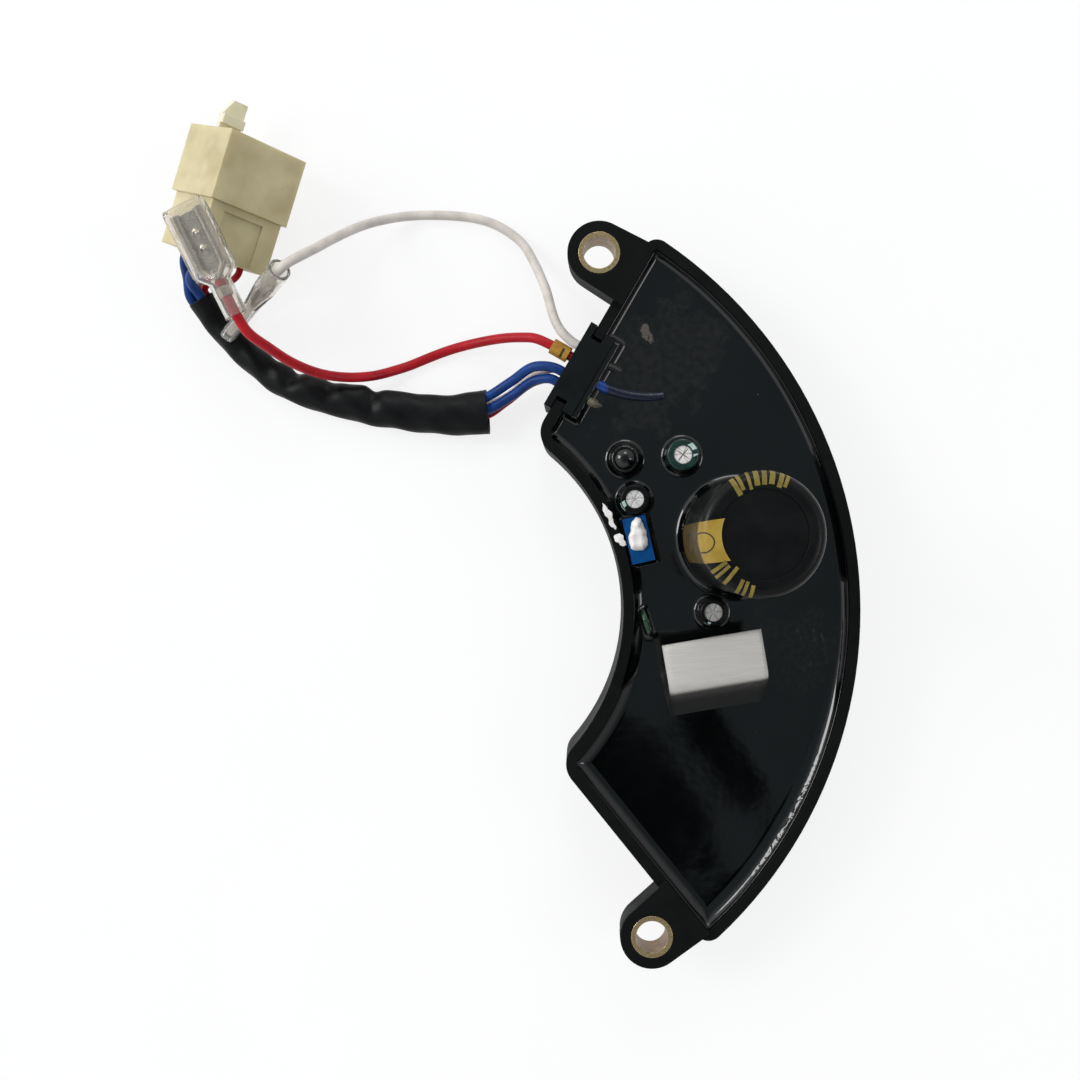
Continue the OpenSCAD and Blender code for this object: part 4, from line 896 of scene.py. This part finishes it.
class Can:
    """Outer skin of a sleeved can, by a run v: 0 at the rounded edge's foot, then up over it and inward.

    Below 0 the run goes down the side.
    """

    def __init__(self, node, edge):
        self.middle, self.radius, self.top = round_part(node)
        self.edge = edge

    def at(self, angle, v, lift=0.03):
        """Point at an angle round the axis and a run v: side, quarter circle of radius edge, flat top."""
        bend = np.clip(v / self.edge, 0, np.pi / 2)
        flat = np.maximum(v - self.edge * np.pi / 2, 0)
        r = self.radius - self.edge + (self.edge + lift) * np.cos(bend) - flat
        z = self.top - self.edge + (self.edge + lift) * np.sin(bend) + np.minimum(v, 0)
        x, y = self.middle[0] + r * np.cos(angle), self.middle[1] + r * np.sin(angle)
        return np.stack(np.broadcast_arrays(x, y, z), axis=-1)

    def run_to(self, r):
        """Run at which the flat top lies r from the axis."""
        return self.radius - self.edge - r + self.edge * math.pi / 2

    def band(self, name, angle, low, high, half, finish, lift=0.03):
        """Strip of half width half that keeps its width as it runs in over the top, from low to high."""
        v = np.linspace(low, high, 60)[:, None]
        u = np.linspace(-half, half, 24)[None]
        r = np.minimum(self.radius, self.radius - (v - self.edge * (np.pi / 2 - 1)))
        turn = math.radians(angle) + np.arcsin(np.clip(u / np.maximum(r, half * 1.05), -1, 1))
        return self.sheet(name, self.at(turn, np.broadcast_to(v, turn.shape), lift), finish)

    def run_at(self, depth):
        """Run at a depth in plan in from the side; below 0 it goes five times as far down the side."""
        bend = self.edge * np.arccos(np.clip(1 - depth / self.edge, 0, 1))
        return np.where(depth < 0, 5 * depth, bend + np.maximum(depth - self.edge, 0))

    def oval(self, name, angle, depth, half, width, finish, lift=0.05):
        """Line of that width along an oval of half sizes half (across, inward) about a depth in plan."""
        t = np.linspace(0, 2 * np.pi, 73)[:, None]
        w = np.linspace(-0.5, 0.5, 4)[None] * width
        u = (half[0] + w) * np.cos(t)
        run = self.run_at(depth + (half[1] + w) * np.sin(t))
        turn = math.radians(angle) + np.arcsin(u / self.radius)
        return self.sheet(name, self.at(turn, run, lift), finish)

    def lip(self, name, inner, slot):
        """Shrunk end of the sleeve: its skin from below the edge in over the top, and back under."""
        a = np.linspace(0, 2 * np.pi, 96, endpoint=False)
        skin = self.at(a[None], np.linspace(-1.5, self.run_to(inner), 40)[:, None])
        skin[..., 2] += 0.04 * np.sin(5 * a + 0.8)[None] * np.linspace(0, 1, 40)[:, None]
        axis = np.array([*self.middle, 0])
        under = axis + (skin - axis) * [0.93, 0.93, 1] - [0, 0, 0.25]
        return finished(put_mesh(name, *closed_rings(np.concatenate([skin, under[::-1]]))), slot)

    def sheet(self, name, points, finish):
        """Points of a grid as a print that faces outward."""
        outward = points[:, ::-1].reshape(-1, 3)
        piece = put_mesh(name, outward, sheet_faces(*points.shape[:2]))
        return finished(piece, "black_sleeve", finish=finish)


can = Can("main_capacitor_sleeve", 2.0)
stripe_foot = RESIN_Z + 2.2 - can.top + can.edge
can.band("polarity_stripe", STRIPE_ANGLE, stripe_foot, can.run_to(7.5), STRIPE_HALF, gold_print)
can.oval("stripe_oval_upper", STRIPE_ANGLE, 0.8, (1.9, 1.8), 0.26, dark_print)
can.oval("stripe_oval_lower", STRIPE_ANGLE, -3.7, (1.9, 1.3), 0.26, dark_print)

# plain bars: angle, run from, run to, half width
upper_bars = ((116, 0.6, 4.6, 0.45), (110, 0.4, 4.0, 0.35), (101, 0.2, 4.4, 0.3), (93, 0.4, 3.9, 0.5),
              (85, 0.4, 3.8, 0.45), (77, 0.2, 3.6, 0.5), (68, 0.4, 3.9, 0.45), (62, 0.6, 3.5, 0.35))
lower_bars = ((212, 0.6, 4.4, 0.35), (218, 0.6, 4.4, 0.3), (227, 1.0, 5.2, 0.35), (241, 0.2, 3.8, 0.35),
              (247, 0.2, 3.8, 0.3), (254, 0.4, 3.4, 0.35))
for row_name, bars in (("print_bar", upper_bars), ("print_bar_low", lower_bars)):
    for i, bar in enumerate(bars):
        can.band(f"{row_name}_{i}", *bar, bar_print)

for colour, slot, stripe_at, stripe_half in (
        ("green", "green_sleeve", 22, 1.35), ("black", "black_sleeve", 208, 0.9),
        ("lower", "black_sleeve", 236, 0.6)):
    small = Can(f"{colour}_capacitor_sleeve", 0.45)
    small.lip(f"{colour}_lip", 1.95, slot)
    small.band(f"pale_stripe_{colour}", stripe_at, -7.0, small.run_to(2.1), stripe_half, pale_print, 0.05)


def marker_bar():
    """Plain dark bar printed round part of the yellow marker: a patch of its cylinder."""
    start, out = gland_exit(RED_EXIT, 0, 1.0)
    way = out - start
    middle = start + 2.6 * way
    side = np.cross([0, 0, 1.0], way)
    a = np.radians(np.linspace(35, 110, 24))[:, None]
    run = np.linspace(-0.22, 0.22, 3)[None]
    skin = np.cos(a)[..., None] * side + np.sin(a)[..., None] * np.array([0, 0, 1.0])
    points = middle + run[..., None] * way + MARKER_R * skin
    piece = put_mesh("marker_bar", points.reshape(-1, 3), sheet_faces(*points.shape[:2]))
    return finished(piece, "yellow_tube", finish=dark_print)


marker_bar()


# floor, light and camera

def stage_floor():
    """Flat pale floor that the camera, gloss and glass see as near white, with the part's shadow on it."""
    f = Finish("pale_floor", Roughness=0.9)
    f.colour(f.ramp(f.noise(60.0), (0.3, srgb(246, 246, 246)), (0.7, srgb(252, 252, 252))))
    light_path = f.add("ShaderNodeLightPath")
    seen = f.math("MAXIMUM", light_path.outputs["Is Camera Ray"], light_path.outputs["Is Transmission Ray"])
    seen = f.math("MAXIMUM", seen, light_path.outputs["Is Glossy Ray"])
    glow = f.add("ShaderNodeEmission")
    mix = f.add("ShaderNodeMixShader")
    f.link(f.math("MULTIPLY", seen, 0.8), mix.inputs["Fac"])
    f.link(f.shader.outputs["BSDF"], mix.inputs[1])
    f.link(glow.outputs["Emission"], mix.inputs[2])
    f.link(mix.outputs["Shader"], f.tree.nodes["Material Output"].inputs["Surface"])
    half, z = 2.0, BACK_Z * MM
    corners = [(-half, -half, z), (half, -half, z), (half, half, z), (-half, half, z)]
    mesh = bpy.data.meshes.new("floor")
    mesh.from_pydata(corners, [], [(0, 1, 2, 3)])
    mesh.materials.append(f.material)
    floor = bpy.data.objects.new("floor", mesh)
    bpy.context.scene.collection.objects.link(floor)


def soft_lamp(name, place, size, power):
    """Square soft box aimed at the middle of the part."""
    data = bpy.data.lights.new(name, "AREA")
    data.shape = "SQUARE"
    data.size = size
    data.energy = power
    lamp = bpy.data.objects.new(name, data)
    away = np.array(place) - [-0.01, 0.01, 0.0]
    lamp.location = place
    tilt = math.acos(away[2] / np.linalg.norm(away))
    lamp.rotation_euler = (tilt, 0, math.atan2(away[1], away[0]) + math.pi / 2)
    bpy.context.scene.collection.objects.link(lamp)


def studio_sky():
    """World light as in a light tent: bright all round, more so from the left, dark above the lower end."""
    world = bpy.data.worlds.new("studio")
    world.use_nodes = True
    tree = world.node_tree
    coords = tree.nodes.new("ShaderNodeTexCoord")

    def toward(way, *spread):
        """How far each direction lies toward a way, as a number mapped from and to the limits in spread."""
        dot = tree.nodes.new("ShaderNodeVectorMath")
        dot.operation = "DOT_PRODUCT"
        dot.inputs[1].default_value = way
        tree.links.new(coords.outputs["Generated"], dot.inputs[0])
        mapped = tree.nodes.new("ShaderNodeMapRange")
        for key, number in zip(("From Min", "From Max", "To Min", "To Max"), spread):
            mapped.inputs[key].default_value = number
        tree.links.new(dot.outputs["Value"], mapped.inputs["Value"])
        return mapped.outputs["Result"]

    ramp = tree.nodes.new("ShaderNodeValToRGB")
    stops = ((0.0, (0.5, 0.5, 0.5, 1)), (0.3, (0.9, 0.9, 0.9, 1)), (0.65, (0.92, 0.93, 0.94, 1)),
             (0.84, (0.5, 0.54, 0.57, 1)), (0.93, (0.22, 0.26, 0.28, 1)))
    while len(ramp.color_ramp.elements) < len(stops):
        ramp.color_ramp.elements.new(0.5)
    for element, (place, colour) in zip(ramp.color_ramp.elements, stops):
        element.position, element.color = place, colour
    tree.links.new(toward((0, 0, 1), 0, 1, 0, 1), ramp.inputs["Fac"])
    shade = ramp.outputs["Color"]
    from_left = toward((-0.75, 0.59, 0.3), -1, 1, 0.45, 1.35)
    dark_opening = toward((0.03, -0.21, 0.977), 0.9952, 0.9972, 1, 0.03)
    for part in (from_left, dark_opening):
        scaled = tree.nodes.new("ShaderNodeVectorMath")
        scaled.operation = "SCALE"
        tree.links.new(shade, scaled.inputs["Vector"])
        tree.links.new(part, scaled.inputs["Scale"])
        shade = scaled.outputs["Vector"]
    tree.links.new(shade, tree.nodes["Background"].inputs["Color"])
    tree.nodes["Background"].inputs["Strength"].default_value = 1.0
    bpy.context.scene.world = world


stage_floor()
studio_sky()
soft_lamp("left_box", (-0.95, 0.4, 0.75), 0.45, 6.0)
soft_lamp("right_box", (0.9, -0.2, 0.9), 0.4, 2.0)
soft_lamp("far_box", (0.1, 0.95, 0.75), 0.4, 2.0)
bpy.context.scene.view_settings.view_transform = "Standard"

camera_data = bpy.data.cameras.new("photo_camera")
camera_data.lens = 41.53
camera_data.sensor_width = 36.0
camera_data.shift_x, camera_data.shift_y = -0.037, 0.0111
camera_data.clip_start = 0.01
camera = bpy.data.objects.new("photo_camera", camera_data)
camera.location = (-0.0086, 0.0094, 0.262)
camera.rotation_euler = (0, 0, math.radians(-4.41))
bpy.context.scene.collection.objects.link(camera)
bpy.context.scene.camera = camera
